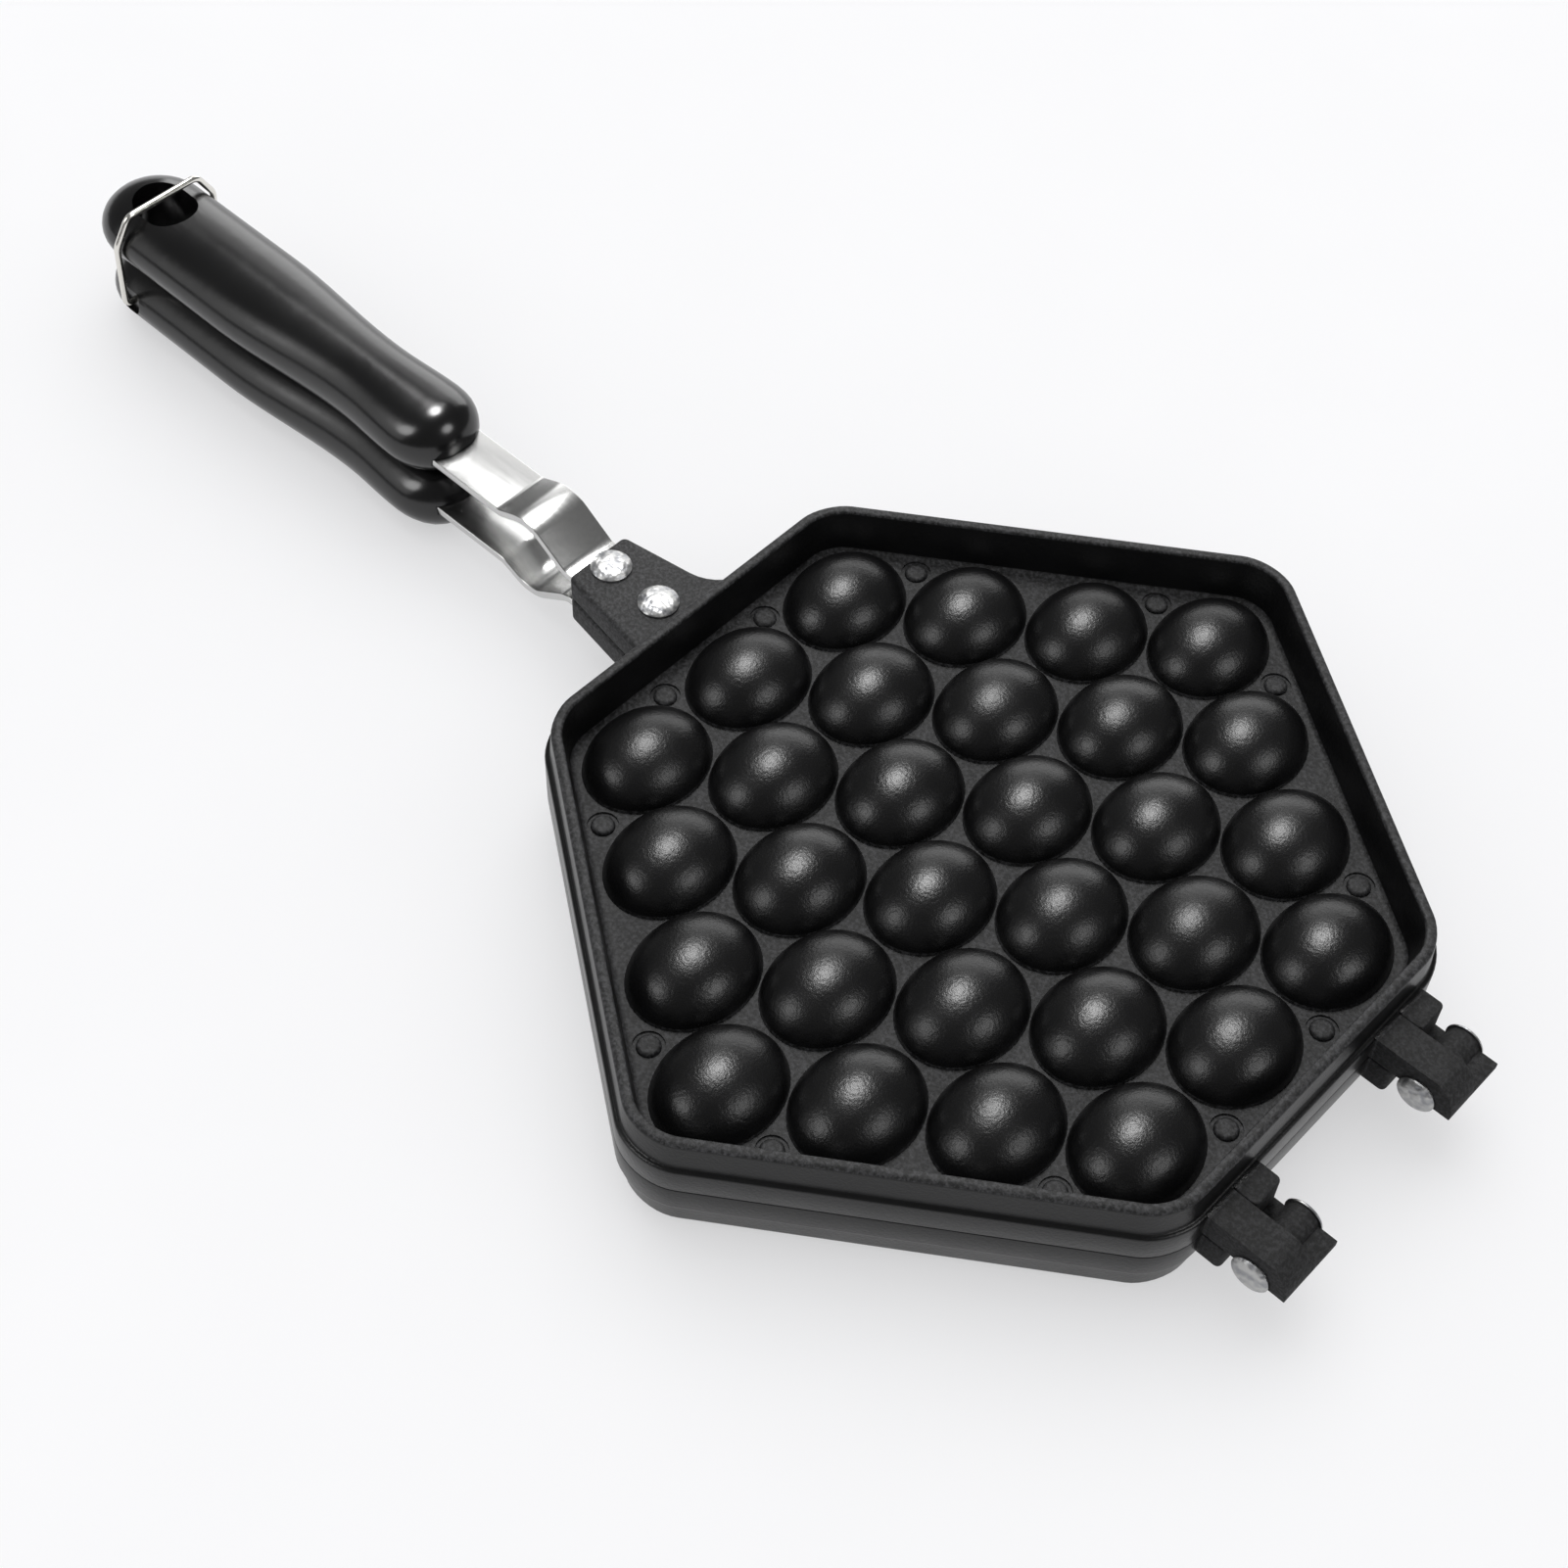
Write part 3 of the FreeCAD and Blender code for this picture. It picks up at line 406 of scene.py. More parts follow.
def new_material(name):
    """A material with an empty node tree."""
    material = bpy.data.materials.new(name)
    material.use_nodes = True
    material.node_tree.nodes.clear()
    return material


def dress(piece, material):
    """Gives a piece this material and no other."""
    piece.data.materials.clear()
    piece.data.materials.append(material)


nonstick = new_material("non-stick coat on blasted cast aluminium")
place = add(nonstick, "ShaderNodeTexCoord").outputs["Object"]
grain = add(nonstick, "ShaderNodeTexNoise", {"Vector": place, "Scale": 1 / (GRAIN * MM),
                                            "Detail": 3.0, "Roughness": 0.65})
mottle = add(nonstick, "ShaderNodeTexNoise", {"Vector": place, "Scale": 1 / (MOTTLE * MM),
                                             "Detail": 2.0})

# where the skin is rough, by how far a point lies from the middle of the plates
from_middle = add(nonstick, "ShaderNodeVectorMath", {0: place, 1: PLATE_MIDDLE},
                  operation="SUBTRACT")
apart = add(nonstick, "ShaderNodeVectorMath", {0: from_middle}, operation="ABSOLUTE")
apart_slanting = add(nonstick, "ShaderNodeVectorMath", {
    0: apart, 1: (math.sin(SLANT_TURN), math.cos(SLANT_TURN), 0)}, operation="DOT_PRODUCT")
away = add(nonstick, "ShaderNodeSeparateXYZ", {"Vector": apart}).outputs
towards_hinges = add(nonstick, "ShaderNodeSeparateXYZ", {"Vector": from_middle}).outputs["X"]
zones = {}
for zone, test, measure, limit in (
        ("low", "LESS_THAN", away["Z"], WEB_SKIN_Z),
        ("between flat sides", "LESS_THAN", away["X"], WEB_SKIN_X),
        ("between slanting sides", "LESS_THAN", apart_slanting.outputs["Value"], WEB_SKIN_SLANT),
        ("rim top", "GREATER_THAN", away["Z"], RIM_SKIN_Z),
        ("lug and hinges", "GREATER_THAN", away["X"], LUG_SKIN_X),
        ("hinges", "GREATER_THAN", towards_hinges, HINGE_SKIN_X)):
    zones[zone] = add(nonstick, "ShaderNodeMath", {0: measure, 1: limit * MM}, operation=test)
inside_rim = add(nonstick, "ShaderNodeMath", {
    0: zones["between flat sides"], 1: zones["between slanting sides"]}, operation="MULTIPLY")
web = add(nonstick, "ShaderNodeMath", {0: inside_rim, 1: zones["low"]}, operation="MULTIPLY")
web_and_rim = add(nonstick, "ShaderNodeMath", {0: web, 1: zones["rim top"]}, operation="MAXIMUM")
rough_skin = add(nonstick, "ShaderNodeMath", {0: web_and_rim, 1: zones["lug and hinges"]},
                 operation="MAXIMUM")

# painted glints: pale flecks in the colour of the rough skin that stand for light caught by its
# grain, at half strength on the hinge arms
painted_glints = add(nonstick, "ShaderNodeValToRGB", {"Fac": grain},
             stops=((0.42, linear("#101011")), (0.76, linear("#454548"))))
painted_glint_share = add(nonstick, "ShaderNodeMath", {
    0: zones["hinges"], 1: HINGE_PAINTED_GLINTS_LESS, 2: rough_skin}, operation="MULTIPLY_ADD")
colour = add(nonstick, "ShaderNodeMix", {
    MIX_FACTOR: painted_glint_share, MIX_FIRST: linear("#0d0d0e"), MIX_SECOND: painted_glints}, data_type="RGBA")
satin = add(nonstick, "ShaderNodeMapRange", {
    "Value": mottle, "From Min": NOISE_LOW, "From Max": NOISE_HIGH, "To Min": 0.28,
    "To Max": 0.34})
rougher = add(nonstick, "ShaderNodeMath", {0: rough_skin, 1: ROUGH_SKIN_MORE, 2: satin},
              operation="MULTIPLY_ADD")
gloss = add(nonstick, "ShaderNodeMath", {0: zones["hinges"], 1: HINGE_SKIN_MORE, 2: rougher},
            operation="MULTIPLY_ADD")
depth = add(nonstick, "ShaderNodeMath", {
    0: rough_skin, 1: ROUGH_BUMP_MORE * MM, 2: SMOOTH_BUMP * MM}, operation="MULTIPLY_ADD")
bumps = add(nonstick, "ShaderNodeBump", {"Height": grain, "Strength": 0.6, "Distance": depth})
coat = add(nonstick, "ShaderNodeBsdfPrincipled", {
    "Base Color": colour.outputs[MIX_COLOUR], "Roughness": gloss, "Normal": bumps, "IOR": 1.4,
    "Metallic": 0.0})
add(nonstick, "ShaderNodeOutputMaterial", {"Surface": coat})
for casting in (upper_casting, lower_casting):
    dress(casting, nonstick)
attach(upper_casting, "upper_half")
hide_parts("upper_plate")
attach(lower_casting, "lower_half")
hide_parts("lower_plate")

# Handle straps. Each is a strip of stainless steel, 14.4 by 2 mm, pressed to a hump next to the
# plate. One end is riveted under the lug and the other is the tang that the grip sits on.

STRAP_WIDE, STRAP_THICK, STRAP_ROUNDING = 14.4, 2.0, 0.35
# its line from end to end: x, z and the radius of the bend there
STRAP_LINE = ((-88.3, 4.0, 0), (-117.0, 4.0, 4.5), (-129.0, 12.2, 8.0), (-138.3, 8.0, 4.0),
              (-206.0, 8.0, 0))

(start_x, start_z, _), (bend_x, _, _) = STRAP_LINE[:2]
upper_strap = begin("upper_strap_strip", bpy.ops.mesh.primitive_plane_add, size=1,
                    location=at((start_x + bend_x) / 2, 0, start_z),
                    scale=((start_x - bend_x) * MM, STRAP_WIDE * MM, 1))
for (x, z, _), (next_x, next_z, _) in zip(STRAP_LINE[1:], STRAP_LINE[2:]):
    choose(upper_strap, "EDGE",
           lambda spot, item: abs(spot.x - x) < HAIR and abs(spot.y) < HAIR)
    bpy.ops.mesh.extrude_region_move(TRANSFORM_OT_translate={
        "value": ((next_x - x) * MM, 0, (next_z - z) * MM)})
for (last_x, last_z, _), (x, z, bend), (next_x, next_z, _) in zip(STRAP_LINE, STRAP_LINE[1:],
                                                                  STRAP_LINE[2:]):
    turn = abs(math.atan2(next_z - z, x - next_x) - math.atan2(z - last_z, last_x - x))
    choose(upper_strap, "EDGE",
           lambda spot, item: abs(spot.x - x) < HAIR and abs(spot.y) < HAIR)
    bpy.ops.mesh.bevel(offset=bend * math.tan(turn / 2) * MM, segments=8, affect="EDGES")
bpy.ops.mesh.select_all(action="SELECT")
bpy.ops.mesh.normals_make_consistent(inside=False)
pick_up(upper_strap)
thickness = upper_strap.modifiers.new("thickness", "SOLIDIFY")
thickness.thickness = STRAP_THICK * MM
thickness.offset = 0
thickness.use_even_offset = True
bpy.ops.object.modifier_apply(modifier=thickness.name)
finish_edges(upper_strap, STRAP_ROUNDING, segments=3, angle=60)
close_up(upper_strap, smooth_angle=30)
lower_strap = copied(upper_strap, turn_over)
lower_strap.name = "lower_strap_strip"

# Stainless strip, rolled and polished: bright, with fine drawn lines along the strap and a
# slightly wavy face that breaks up what it mirrors. The lines are drawn 0.5 mm apart to show.
DRAWN_LINE, FACE_WAVE, FACE_WAVE_HIGH = 0.5, 7, 0.15
LINE_STRETCH = 0.03

polished = new_material("polished stainless strip")
place = add(polished, "ShaderNodeTexCoord").outputs["Object"]
stretched = add(polished, "ShaderNodeMapping", {"Vector": place, "Scale": (LINE_STRETCH, 1, 1)})
lines = add(polished, "ShaderNodeTexNoise", {"Vector": stretched, "Scale": 1 / (DRAWN_LINE * MM),
                                            "Detail": 2.0})
waves = add(polished, "ShaderNodeTexNoise", {"Vector": place, "Scale": 1 / (FACE_WAVE * MM),
                                            "Detail": 1.0})
gloss = add(polished, "ShaderNodeMapRange", {
    "Value": lines, "From Min": NOISE_LOW, "From Max": NOISE_HIGH, "To Min": 0.22,
    "To Max": 0.26})
bumps = add(polished, "ShaderNodeBump", {"Height": waves, "Strength": 0.35,
                                        "Distance": FACE_WAVE_HIGH * MM})
steel = add(polished, "ShaderNodeBsdfPrincipled", {
    "Base Color": linear("#c8c8c7"), "Metallic": 1.0, "Roughness": gloss, "Normal": bumps})
add(polished, "ShaderNodeOutputMaterial", {"Surface": steel})
for strap, half in ((upper_strap, "upper"), (lower_strap, "lower")):
    dress(strap, polished)
    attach(strap, half + "_half")
    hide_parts(half + "_strap")

# Strap rivets. Two on each half, solid aluminium, with a broad domed head on the lug and a
# flattened tail under the strap.

RIVETS_X = (("outer", -109.2), ("inner", -94.3))
HEAD_RADIUS, SHANK_RADIUS, TAIL_RADIUS = 4.7, 2.4, 3.9
HEAD_SEAT_Z, HEAD_SKIRT, TAIL_SEAT_Z, TAIL_SKIRT, TAIL_ROUND = 7.0, 0.5, 3.0, 0.6, 0.9
# each step of the dome goes in and then up by its millimetres
HEAD_STEPS = ((0.35, 0.35), (0.6, 0.35), (0.8, 0.25), (0.9, 0.15), (0.9, 0.08), (0.8, 0.03))
METAL_SMOOTH_ANGLE = 38

upper_rivets = []
for name, rivet_x in RIVETS_X:
    rivet = begin("upper_rivet_" + name, bpy.ops.mesh.primitive_cylinder_add, vertices=40,
                  radius=HEAD_RADIUS * MM, depth=HEAD_SKIRT * MM,
                  location=at(rivet_x, 0, HEAD_SEAT_Z + HEAD_SKIRT / 2))
    choose(rivet, "FACE", lambda spot, item: item.normal.z > FACING)
    for inward, upward in HEAD_STEPS:
        bpy.ops.mesh.inset(thickness=inward * MM, depth=upward * MM)
    choose(rivet, "FACE", lambda spot, item: item.normal.z < -FACING)
    bpy.ops.mesh.inset(thickness=(HEAD_RADIUS - SHANK_RADIUS) * MM, depth=0)
    bpy.ops.mesh.extrude_region_move(TRANSFORM_OT_translate={
        "value": (0, 0, (TAIL_SEAT_Z - HEAD_SEAT_Z) * MM)})
    bpy.ops.mesh.extrude_region_move(TRANSFORM_OT_translate={"value": (0, 0, 0)})
    spread = TAIL_RADIUS / SHANK_RADIUS
    bpy.ops.transform.resize(value=(spread, spread, 1),
                             center_override=at(rivet_x, 0, TAIL_SEAT_Z))
    bpy.ops.mesh.extrude_region_move(TRANSFORM_OT_translate={"value": (0, 0, -TAIL_SKIRT * MM)})
    bpy.ops.mesh.inset(thickness=TAIL_ROUND * MM, depth=TAIL_ROUND * MM)
    close_up(rivet, METAL_SMOOTH_ANGLE)
    upper_rivets.append((rivet, name))

# Rivet metal: solid aluminium, set bright by the press, with small dents in its face that break
# up what it mirrors, and painted shade that leaves the metal a little greyer in the dents' low
# places.
DENT, DENT_DEEP = 1.8, 0.6

rivet_metal = new_material("set aluminium rivet")
place = add(rivet_metal, "ShaderNodeTexCoord").outputs["Object"]
dents = add(rivet_metal, "ShaderNodeTexNoise", {"Vector": place, "Scale": 1 / (DENT * MM),
                                               "Detail": 1.0})
# painted shade: the colour goes greyer where the dents lie low, following the same noise as the
# bump
painted_dent_shade = add(rivet_metal, "ShaderNodeValToRGB", {"Fac": dents},
           stops=((0.34, linear("#909194")), (0.62, linear("#b8b8b7"))))
gloss = add(rivet_metal, "ShaderNodeMapRange", {
    "Value": dents, "From Min": NOISE_LOW, "From Max": NOISE_HIGH, "To Min": 0.38, "To Max": 0.5})
bumps = add(rivet_metal, "ShaderNodeBump", {"Height": dents, "Strength": 0.8,
                                           "Distance": DENT_DEEP * MM})
metal = add(rivet_metal, "ShaderNodeBsdfPrincipled", {
    "Base Color": painted_dent_shade, "Metallic": 1.0, "Roughness": gloss, "Normal": bumps})
add(rivet_metal, "ShaderNodeOutputMaterial", {"Surface": metal})
for rivet, name in upper_rivets:
    lower_rivet = copied(rivet, turn_over)
    lower_rivet.name = "lower_rivet_" + name
    for piece, half in ((rivet, "upper"), (lower_rivet, "lower")):
        dress(piece, rivet_metal)
        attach(piece, half + "_half")
        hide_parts(half + "_strap_rivet_" + name)

# Hinge pins. Each is a long aluminium rivet through the arms of both plates, with a low domed
# head at either end, and the arms turn on it.

PIN_RADIUS, PIN_LONG, PIN_HEAD_RADIUS, PIN_HEAD_SKIRT = 2.0, 16.6, 4.3, 0.3
PIN_HEAD_STEPS = ((0.35, 0.35), (0.7, 0.3), (0.9, 0.2), (1.0, 0.1), (0.9, 0.04))

for name, hinge_y in zip(("right", "left"), HINGES_Y):
    pin = begin("hinge_pin_" + name, bpy.ops.mesh.primitive_cylinder_add, vertices=40,
                radius=PIN_RADIUS * MM, depth=PIN_LONG * MM, location=at(HINGE_X, hinge_y, 0),
                rotation=ALONG_Y)
    for end in (-1, 1):
        choose(pin, "FACE",
               lambda spot, item: (spot.y - hinge_y) * end > PIN_LONG / 2 - HAIR)
        bpy.ops.mesh.extrude_region_move(TRANSFORM_OT_translate={"value": (0, 0, 0)})
        spread = PIN_HEAD_RADIUS / PIN_RADIUS
        bpy.ops.transform.resize(
            value=(spread, 1, spread),
            center_override=at(HINGE_X, hinge_y + end * PIN_LONG / 2, 0))
        bpy.ops.mesh.extrude_region_move(TRANSFORM_OT_translate={
            "value": (0, end * PIN_HEAD_SKIRT * MM, 0)})
        for inward, outward in PIN_HEAD_STEPS:
            bpy.ops.mesh.inset(thickness=inward * MM, depth=outward * MM)
    close_up(pin, METAL_SMOOTH_ANGLE)
    dress(pin, rivet_metal)
    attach(pin, "lower_half")
    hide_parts("hinge_rivet_" + name)

# Grips. Two alike, moulded in black phenolic: an oval bar with a waist for the forefinger, a
# round nose around the strap and a hang hole through the end, flat where they face each other.

GRIP_LEVEL_Z, GRIP_HALF_HIGH, GRIP_FLAT_Z, GRIP_FLAT_ROUNDING = 9.2, 8.7, 1.0, 0.9
NOSE_X, NOSE_LONG, NOSE_HALF, NOSE_TIP_ANGLE, NOSE_ROUND = -158, 13.0, 12.05, 14, 8.0
WAIST_X, WAIST_HALF = -190, 11.0
PALM_X, PALM_HALF = -232, 13.75
END_X, END_LONG, END_ANGLE = -268.75, 13.75, 80
NOSE_STEPS, WAIST_STEPS, PALM_STEPS, STRAIGHT_STEPS, END_STEPS = 8, 5, 10, 4, 9
START_RADIUS = 1
HANG_HOLE_X, HANG_HOLE_Z, HANG_HOLE_CUT_LONG = -264.3, 9, 40
HANG_HOLE_RADIUS, HANG_HOLE_STRETCH = 6.75, 2.0
TANG_SLOT_MIDDLE, TANG_SLOT_LONG, TANG_PLAY = (-180, 0, 8.0), 52.3, 0.3
GRIP_SMOOTH_ANGLE = 40


def swell(share):
    """An even, soft rise from 0 to 1."""
    return (1 - math.cos(math.pi * share)) / 2


# the outline as stations from nose to end: x, half the width and half the height
neck_x = NOSE_X - NOSE_LONG
tip_cosine = math.cos(math.radians(NOSE_TIP_ANGLE))
stations = []
for step in range(NOSE_STEPS + 1):
    angle = math.radians(NOSE_TIP_ANGLE + (90 - NOSE_TIP_ANGLE) * step / NOSE_STEPS)
    back = NOSE_LONG * (1 - math.cos(angle) / tip_cosine)
    drop = max(1 - back / NOSE_ROUND, 0) * tip_cosine
    stations.append((NOSE_X - back, NOSE_HALF * math.sin(angle),
                     GRIP_HALF_HIGH * math.sqrt(1 - drop ** 2)))
for step in range(1, WAIST_STEPS):
    share = step / WAIST_STEPS
    stations.append((neck_x + (WAIST_X - neck_x) * share,
                     NOSE_HALF + (WAIST_HALF - NOSE_HALF) * swell(share), GRIP_HALF_HIGH))
for step in range(PALM_STEPS + 1):
    share = step / PALM_STEPS
    stations.append((WAIST_X + (PALM_X - WAIST_X) * share,
                     WAIST_HALF + (PALM_HALF - WAIST_HALF) * swell(share), GRIP_HALF_HIGH))
for step in range(1, STRAIGHT_STEPS):
    stations.append((PALM_X + (END_X - PALM_X) * step / STRAIGHT_STEPS, PALM_HALF,
                     GRIP_HALF_HIGH))
for step in range(END_STEPS + 1):
    angle = math.radians(END_ANGLE * step / END_STEPS)
    stations.append((END_X - END_LONG * math.sin(angle) / math.sin(math.radians(END_ANGLE)),
                     PALM_HALF * math.cos(angle), GRIP_HALF_HIGH * math.cos(angle)))

upper_grip = begin("upper_grip_moulding", bpy.ops.mesh.primitive_circle_add, vertices=40,
                   radius=START_RADIUS * MM, fill_type="NGON",
                   location=at(NOSE_X, 0, GRIP_LEVEL_Z),
                   rotation=(0, math.pi / 2, 0))
last_x, last_half, last_high = NOSE_X, START_RADIUS, START_RADIUS
bpy.ops.mesh.select_all(action="SELECT")
for number, (x, half, high) in enumerate(stations):
    if number:
        bpy.ops.mesh.extrude_region_move(TRANSFORM_OT_translate={
            "value": ((x - last_x) * MM, 0, 0)})
    bpy.ops.transform.resize(value=(1, half / last_half, high / last_high),
                             center_override=at(x, 0, GRIP_LEVEL_Z))
    last_x, last_half, last_high = x, half, high
bpy.ops.mesh.select_all(action="SELECT")
bpy.ops.mesh.normals_make_consistent(inside=False)
bpy.ops.mesh.bisect(plane_co=at(0, 0, GRIP_FLAT_Z), plane_no=(0, 0, 1), use_fill=True,
                    clear_inner=True)
bpy.ops.mesh.bevel(offset=GRIP_FLAT_ROUNDING * MM, segments=3, affect="EDGES")

hole = begin("hole", bpy.ops.mesh.primitive_cylinder_add, vertices=64,
             radius=HANG_HOLE_RADIUS * MM, depth=HANG_HOLE_CUT_LONG * MM,
             location=at(HANG_HOLE_X, 0, HANG_HOLE_Z))
for side in (-1, 1):
    choose(hole, "VERT", lambda spot, item: (spot.x - HANG_HOLE_X) * side > HAIR)
    bpy.ops.transform.translate(value=(side * HANG_HOLE_STRETCH * MM, 0, 0))
fit(upper_grip, hole, "DIFFERENCE")
fit(upper_grip, begin("tang_slot", bpy.ops.mesh.primitive_cube_add, size=1,
                      location=at(*TANG_SLOT_MIDDLE),
                      scale=(TANG_SLOT_LONG * MM, (STRAP_WIDE + TANG_PLAY) * MM,
                             (STRAP_THICK + TANG_PLAY) * MM)), "DIFFERENCE")
close_up(upper_grip, GRIP_SMOOTH_ANGLE)
lower_grip = copied(upper_grip, turn_over)
lower_grip.name = "lower_grip_moulding"

# a countersink and a bore in each side of the lower grip take the feet of the wire clip
CLIP_X, CLIP_Z = -267.5, -8.0
SINK_RADIUS, SINK_DEEP, SINK_Y = 3.4, 3.5, 14.0
FOOT_BORE_RADIUS, FOOT_BORE_LONG, FOOT_BORE_Y = 0.91, 6, 11.25

for side in (-1, 1):
    for name, vertices, radius, long, y in (
            ("sink", 40, SINK_RADIUS, SINK_DEEP, SINK_Y),
            ("foot_bore", 24, FOOT_BORE_RADIUS, FOOT_BORE_LONG, FOOT_BORE_Y)):
        fit(lower_grip, begin(name, bpy.ops.mesh.primitive_cylinder_add, vertices=vertices,
                              radius=radius * MM, depth=long * MM,
                              location=at(CLIP_X, side * y, CLIP_Z), rotation=ALONG_Y),
            "DIFFERENCE")
close_up(lower_grip, GRIP_SMOOTH_ANGLE)

# Moulded phenolic: deep black with the gloss of a polished mould, under a faint orange-peel
# waviness about 6 mm long that softens the edges of what it mirrors.
PEEL, PEEL_DEEP, HANDLING = 6, 0.4, 20

phenolic = new_material("moulded black phenolic")
place = add(phenolic, "ShaderNodeTexCoord").outputs["Object"]
peel = add(phenolic, "ShaderNodeTexNoise", {"Vector": place, "Scale": 1 / (PEEL * MM),
                                           "Detail": 2.0})
handling = add(phenolic, "ShaderNodeTexNoise", {"Vector": place, "Scale": 1 / (HANDLING * MM),
                                               "Detail": 3.0})
gloss = add(phenolic, "ShaderNodeMapRange", {
    "Value": handling, "From Min": NOISE_LOW, "From Max": NOISE_HIGH, "To Min": 0.19,
    "To Max": 0.25})
bumps = add(phenolic, "ShaderNodeBump", {"Height": peel, "Strength": 0.12,
                                        "Distance": PEEL_DEEP * MM})
resin = add(phenolic, "ShaderNodeBsdfPrincipled", {
    "Base Color": linear("#0b0b0c"), "Roughness": gloss, "Normal": bumps, "IOR": 1.55})
add(phenolic, "ShaderNodeOutputMaterial", {"Surface": resin})
for grip, half in ((upper_grip, "upper"), (lower_grip, "lower")):
    dress(grip, phenolic)
    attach(grip, half + "_half")
    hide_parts(half + "_grip")

# Grip screws. A zinc-plated steel screw in the flat inner face of each grip holds it on its
# tang. The solids have the right shape, so only their finish, with its faint spangle, is set.

SPANGLE = 1.5

zinc = new_material("zinc-plated screw steel")
place = add(zinc, "ShaderNodeTexCoord").outputs["Object"]
spangle = add(zinc, "ShaderNodeTexNoise", {"Vector": place, "Scale": 1 / (SPANGLE * MM),
                                          "Detail": 2.0})
gloss = add(zinc, "ShaderNodeMapRange", {
    "Value": spangle, "From Min": NOISE_LOW, "From Max": NOISE_HIGH, "To Min": 0.3,
    "To Max": 0.42})
plated = add(zinc, "ShaderNodeBsdfPrincipled", {
    "Base Color": linear("#b9bcc0"), "Metallic": 1.0, "Roughness": gloss})
add(zinc, "ShaderNodeOutputMaterial", {"Surface": plated})
for half in ("upper", "lower"):
    dress(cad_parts[half + "_grip_screw"], zinc)

# Wire clip. One length of bright spring wire, 1.7 mm thick, bent to a bail. Its feet turn in
# the sides of the lower grip and its bar snaps over the end of the upper one.

WIRE_RADIUS = 0.85
CLIP_LEAN_X, CLIP_RISE = 2.5, 27.0
FOOT_Y, LEG_Y, BAR_HALF = 8.65, 14.85, 10.5
FOOT_BEND, SHOULDER_BEND, BAR_BEND, SHOULDER_DROP = 2.0, 5.0, 3.0, 7.5
BEND_STEPS = 8

reach = math.hypot(CLIP_LEAN_X, CLIP_RISE)
lean = math.asin(CLIP_LEAN_X / reach)
# the corners of one half and then of the other: y, height over the feet and radius of the bend
outline = [(FOOT_Y, 0, 0), (LEG_Y, 0, FOOT_BEND),
           (LEG_Y, reach - SHOULDER_DROP, SHOULDER_BEND), (BAR_HALF, reach, BAR_BEND)]
outline += [(-y, up, bend) for y, up, bend in reversed(outline)]
wire_points = [outline[0][:2]]
for last, here, after in zip(outline, outline[1:], outline[2:]):
    arriving = Vector((here[0] - last[0], here[1] - last[1])).normalized()
    leaving = Vector((after[0] - here[0], after[1] - here[1])).normalized()
    turn = arriving.angle(leaving)
    inward = (leaving - arriving * arriving.dot(leaving)).normalized()
    first = Vector(here[:2]) - arriving * here[2] * math.tan(turn / 2)
    for step in range(BEND_STEPS + 1):
        angle = turn * step / BEND_STEPS
        point = first + arriving * here[2] * math.sin(angle)
        point += inward * here[2] * (1 - math.cos(angle))
        wire_points.append(tuple(point))
wire_points.append(outline[-1][:2])
put_down()
bail_line = bpy.data.curves.new("bail", "CURVE")
bail_line.dimensions = "3D"
bail_line.bevel_depth = WIRE_RADIUS * MM
bail_line.bevel_resolution = 6
bail_line.use_fill_caps = True
run = bail_line.splines.new("POLY")
run.points.add(len(wire_points) - 1)
for point, (y, up) in zip(run.points, wire_points):
    spot = at(CLIP_X + up * math.sin(lean), y, CLIP_Z + up * math.cos(lean))
    point.co = (spot.x, spot.y, spot.z, 1)
bail = bpy.data.objects.new("bail_wire", bail_line)
bpy.context.scene.collection.objects.link(bail)
pick_up(bail)
bpy.ops.object.convert(target="MESH")
close_up(bail, smooth_angle=40)

# Spring wire, drawn and nickelled: a bright mirror with faint drawing lines along it.
DRAWING = 1

nickelled = new_material("nickelled spring wire")
place = add(nickelled, "ShaderNodeTexCoord").outputs["Object"]
drawing = add(nickelled, "ShaderNodeTexNoise", {"Vector": place, "Scale": 1 / (DRAWING * MM),
                                               "Detail": 2.0})
gloss = add(nickelled, "ShaderNodeMapRange", {
    "Value": drawing, "From Min": NOISE_LOW, "From Max": NOISE_HIGH, "To Min": 0.15,
    "To Max": 0.28})
bright = add(nickelled, "ShaderNodeBsdfPrincipled", {
    "Base Color": linear("#e2e0da"), "Metallic": 1.0, "Roughness": gloss})
add(nickelled, "ShaderNodeOutputMaterial", {"Surface": bright})
dress(bail, nickelled)
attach(bail, "wire_clip")
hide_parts("wire_clip")

# Table, room, lamps and camera. The pan lies on a broad sheet of white paper in a white room.
# A broad skylight and the room light its matt surfaces. Soft boxes high behind it and beside
# the camera, and lit panels low behind and to the left, show in its gloss alone.

TABLE_WIDE, PULP = 6, 50

table = begin("table", bpy.ops.mesh.primitive_plane_add, size=TABLE_WIDE, location=(0, 0, 0))
put_down()
paper = new_material("white background paper")
place = add(paper, "ShaderNodeTexCoord").outputs["Object"]
pulp = add(paper, "ShaderNodeTexNoise", {"Vector": place, "Scale": 1 / (PULP * MM),
                                        "Detail": 2.0})
tint = add(paper, "ShaderNodeValToRGB", {"Fac": pulp},
           stops=((0.3, linear("#f8f8fa")), (0.7, linear("#fafafc"))))
sheet = add(paper, "ShaderNodeBsdfPrincipled", {"Base Color": tint, "Roughness": 0.9,
                                               "IOR": 1.1})
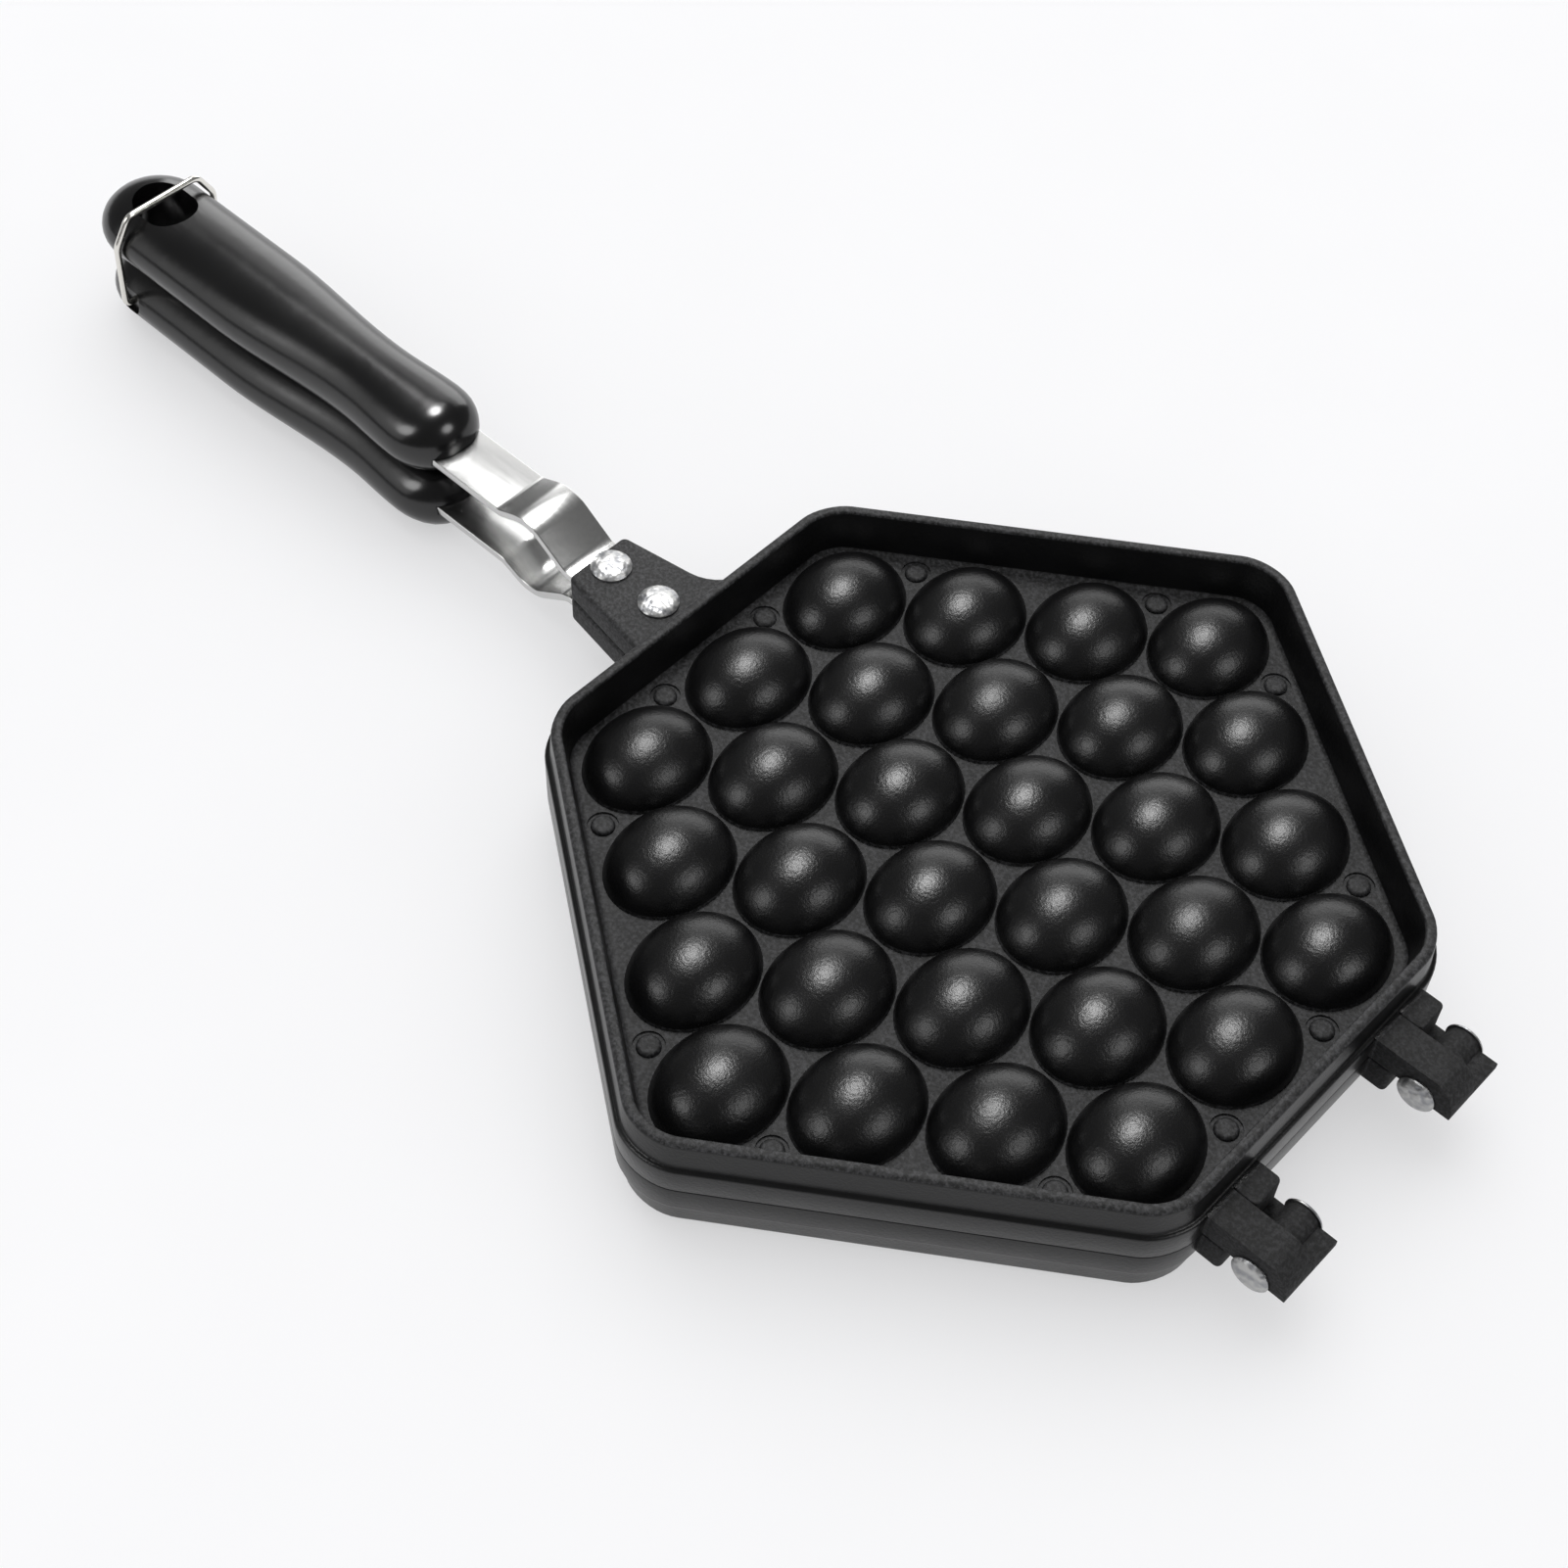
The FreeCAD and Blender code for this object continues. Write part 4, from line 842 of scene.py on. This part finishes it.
# half of what the camera and mirrors see of the sheet is plain white, as an overexposed backdrop,
# and the other half keeps the pan's shadow. It throws no light on matt surfaces.
PLAIN_SHARE = 0.5
ray = add(paper, "ShaderNodeLightPath").outputs
plain = add(paper, "ShaderNodeEmission", {"Color": linear("#fcfcfd"), "Strength": 1.0})
mirrored = add(paper, "ShaderNodeMath", {0: ray["Is Glossy Ray"], 1: ray["Is Transmission Ray"]},
               operation="MAXIMUM")
seen = add(paper, "ShaderNodeMath", {0: ray["Is Camera Ray"], 1: mirrored}, operation="MAXIMUM")
share = add(paper, "ShaderNodeMath", {0: seen, 1: PLAIN_SHARE}, operation="MULTIPLY")
surface = add(paper, "ShaderNodeMixShader", {"Fac": share, 1: sheet, 2: plain})
add(paper, "ShaderNodeOutputMaterial", {"Surface": surface})
dress(table, paper)

# the room: white round matt surfaces and in the camera, dark to mirrors, as black flags make it
ROOM_GLOW, CAMERA_GLOW_MORE, MIRROR_GLOW_MORE = 0.76, 0.19, -0.61

world = bpy.data.worlds.new("studio")
bpy.context.scene.world = world
world.use_nodes = True
world.node_tree.nodes.clear()
ray = add(world, "ShaderNodeLightPath").outputs
to_camera = add(world, "ShaderNodeMath", {0: ray["Is Camera Ray"], 1: CAMERA_GLOW_MORE,
                                         2: ROOM_GLOW}, operation="MULTIPLY_ADD")
glow = add(world, "ShaderNodeMath", {0: ray["Is Glossy Ray"], 1: MIRROR_GLOW_MORE, 2: to_camera},
           operation="MULTIPLY_ADD")
room = add(world, "ShaderNodeBackground", {"Color": linear("#ffffff"), "Strength": glow})
add(world, "ShaderNodeOutputWorld", {"Surface": room})

# each lamp: azimuth, elevation, width and height as seen from the pan, in degrees, its shape,
# how bright its face is, and whether it lights matt surfaces instead of showing in gloss
LAMP_DISTANCE = 4.0
LAMPS = (("high behind", 139, 67, 18, 24, "ELLIPSE", 30.0, False),
         ("right of the camera", 10, 40, 24, 24, "ELLIPSE", 5.6, False),
         ("left of the camera", -115, 38, 24, 24, "ELLIPSE", 5.2, False),
         ("under the high lamp", 138, 50, 24, 10, "RECTANGLE", 3.0, False),
         ("screen behind", 121, 12, 46, 24, "RECTANGLE", 2.5, False),
         ("wall behind", 125, 30, 50, 14, "RECTANGLE", 1.0, False),
         ("wall to the left", -122, 27, 34, 36, "RECTANGLE", 0.9, False),
         ("skylight", 139, 62, 60, 60, "ELLIPSE", 1.1, True))

for name, azimuth, elevation, width, height, shape, brightness, on_matt in LAMPS:
    turn, rise = math.radians(azimuth), math.radians(elevation)
    spot = LAMP_DISTANCE * Vector((math.cos(rise) * math.cos(turn),
                                   math.cos(rise) * math.sin(turn), math.sin(rise)))
    soft_box = bpy.data.lights.new(name, "AREA")
    soft_box.shape = shape
    soft_box.size = 2 * LAMP_DISTANCE * math.tan(math.radians(width / 2))
    soft_box.size_y = 2 * LAMP_DISTANCE * math.tan(math.radians(height / 2))
    face = soft_box.size * soft_box.size_y * (math.pi / 4 if shape == "ELLIPSE" else 1)
    soft_box.energy = brightness * math.pi * face
    lamp = bpy.data.objects.new(name, soft_box)
    lamp.location = spot + PLATE_MIDDLE
    lamp.rotation_euler = (-spot).to_track_quat("-Z", "Y").to_euler()
    lamp.visible_camera = False
    lamp.visible_diffuse = on_matt
    lamp.visible_glossy = not on_matt
    bpy.context.scene.collection.objects.link(lamp)

# the camera stands at the hinge end on the right, as fitted to the photograph. Its place is in
# metres, and in degrees it is tilted up from looking straight down, leant and then turned.
SENSOR_WIDE, FOCAL_LENGTH, NEAREST_SEEN = 36.0, 59.16, 0.01
CAMERA_PLACE = (0.26195, -0.2622, 0.4579)
CAMERA_TILT, CAMERA_LEAN, CAMERA_TURN = 36.879, -1.65, 43.283

lens = bpy.data.cameras.new("camera")
lens.sensor_width = SENSOR_WIDE
lens.lens = FOCAL_LENGTH
lens.clip_start = NEAREST_SEEN
camera = bpy.data.objects.new("camera", lens)
camera.location = CAMERA_PLACE
camera.rotation_euler = [math.radians(angle) for angle in (CAMERA_TILT, CAMERA_LEAN, CAMERA_TURN)]
bpy.context.scene.collection.objects.link(camera)
bpy.context.scene.camera = camera
bpy.context.scene.view_settings.view_transform = "Standard"
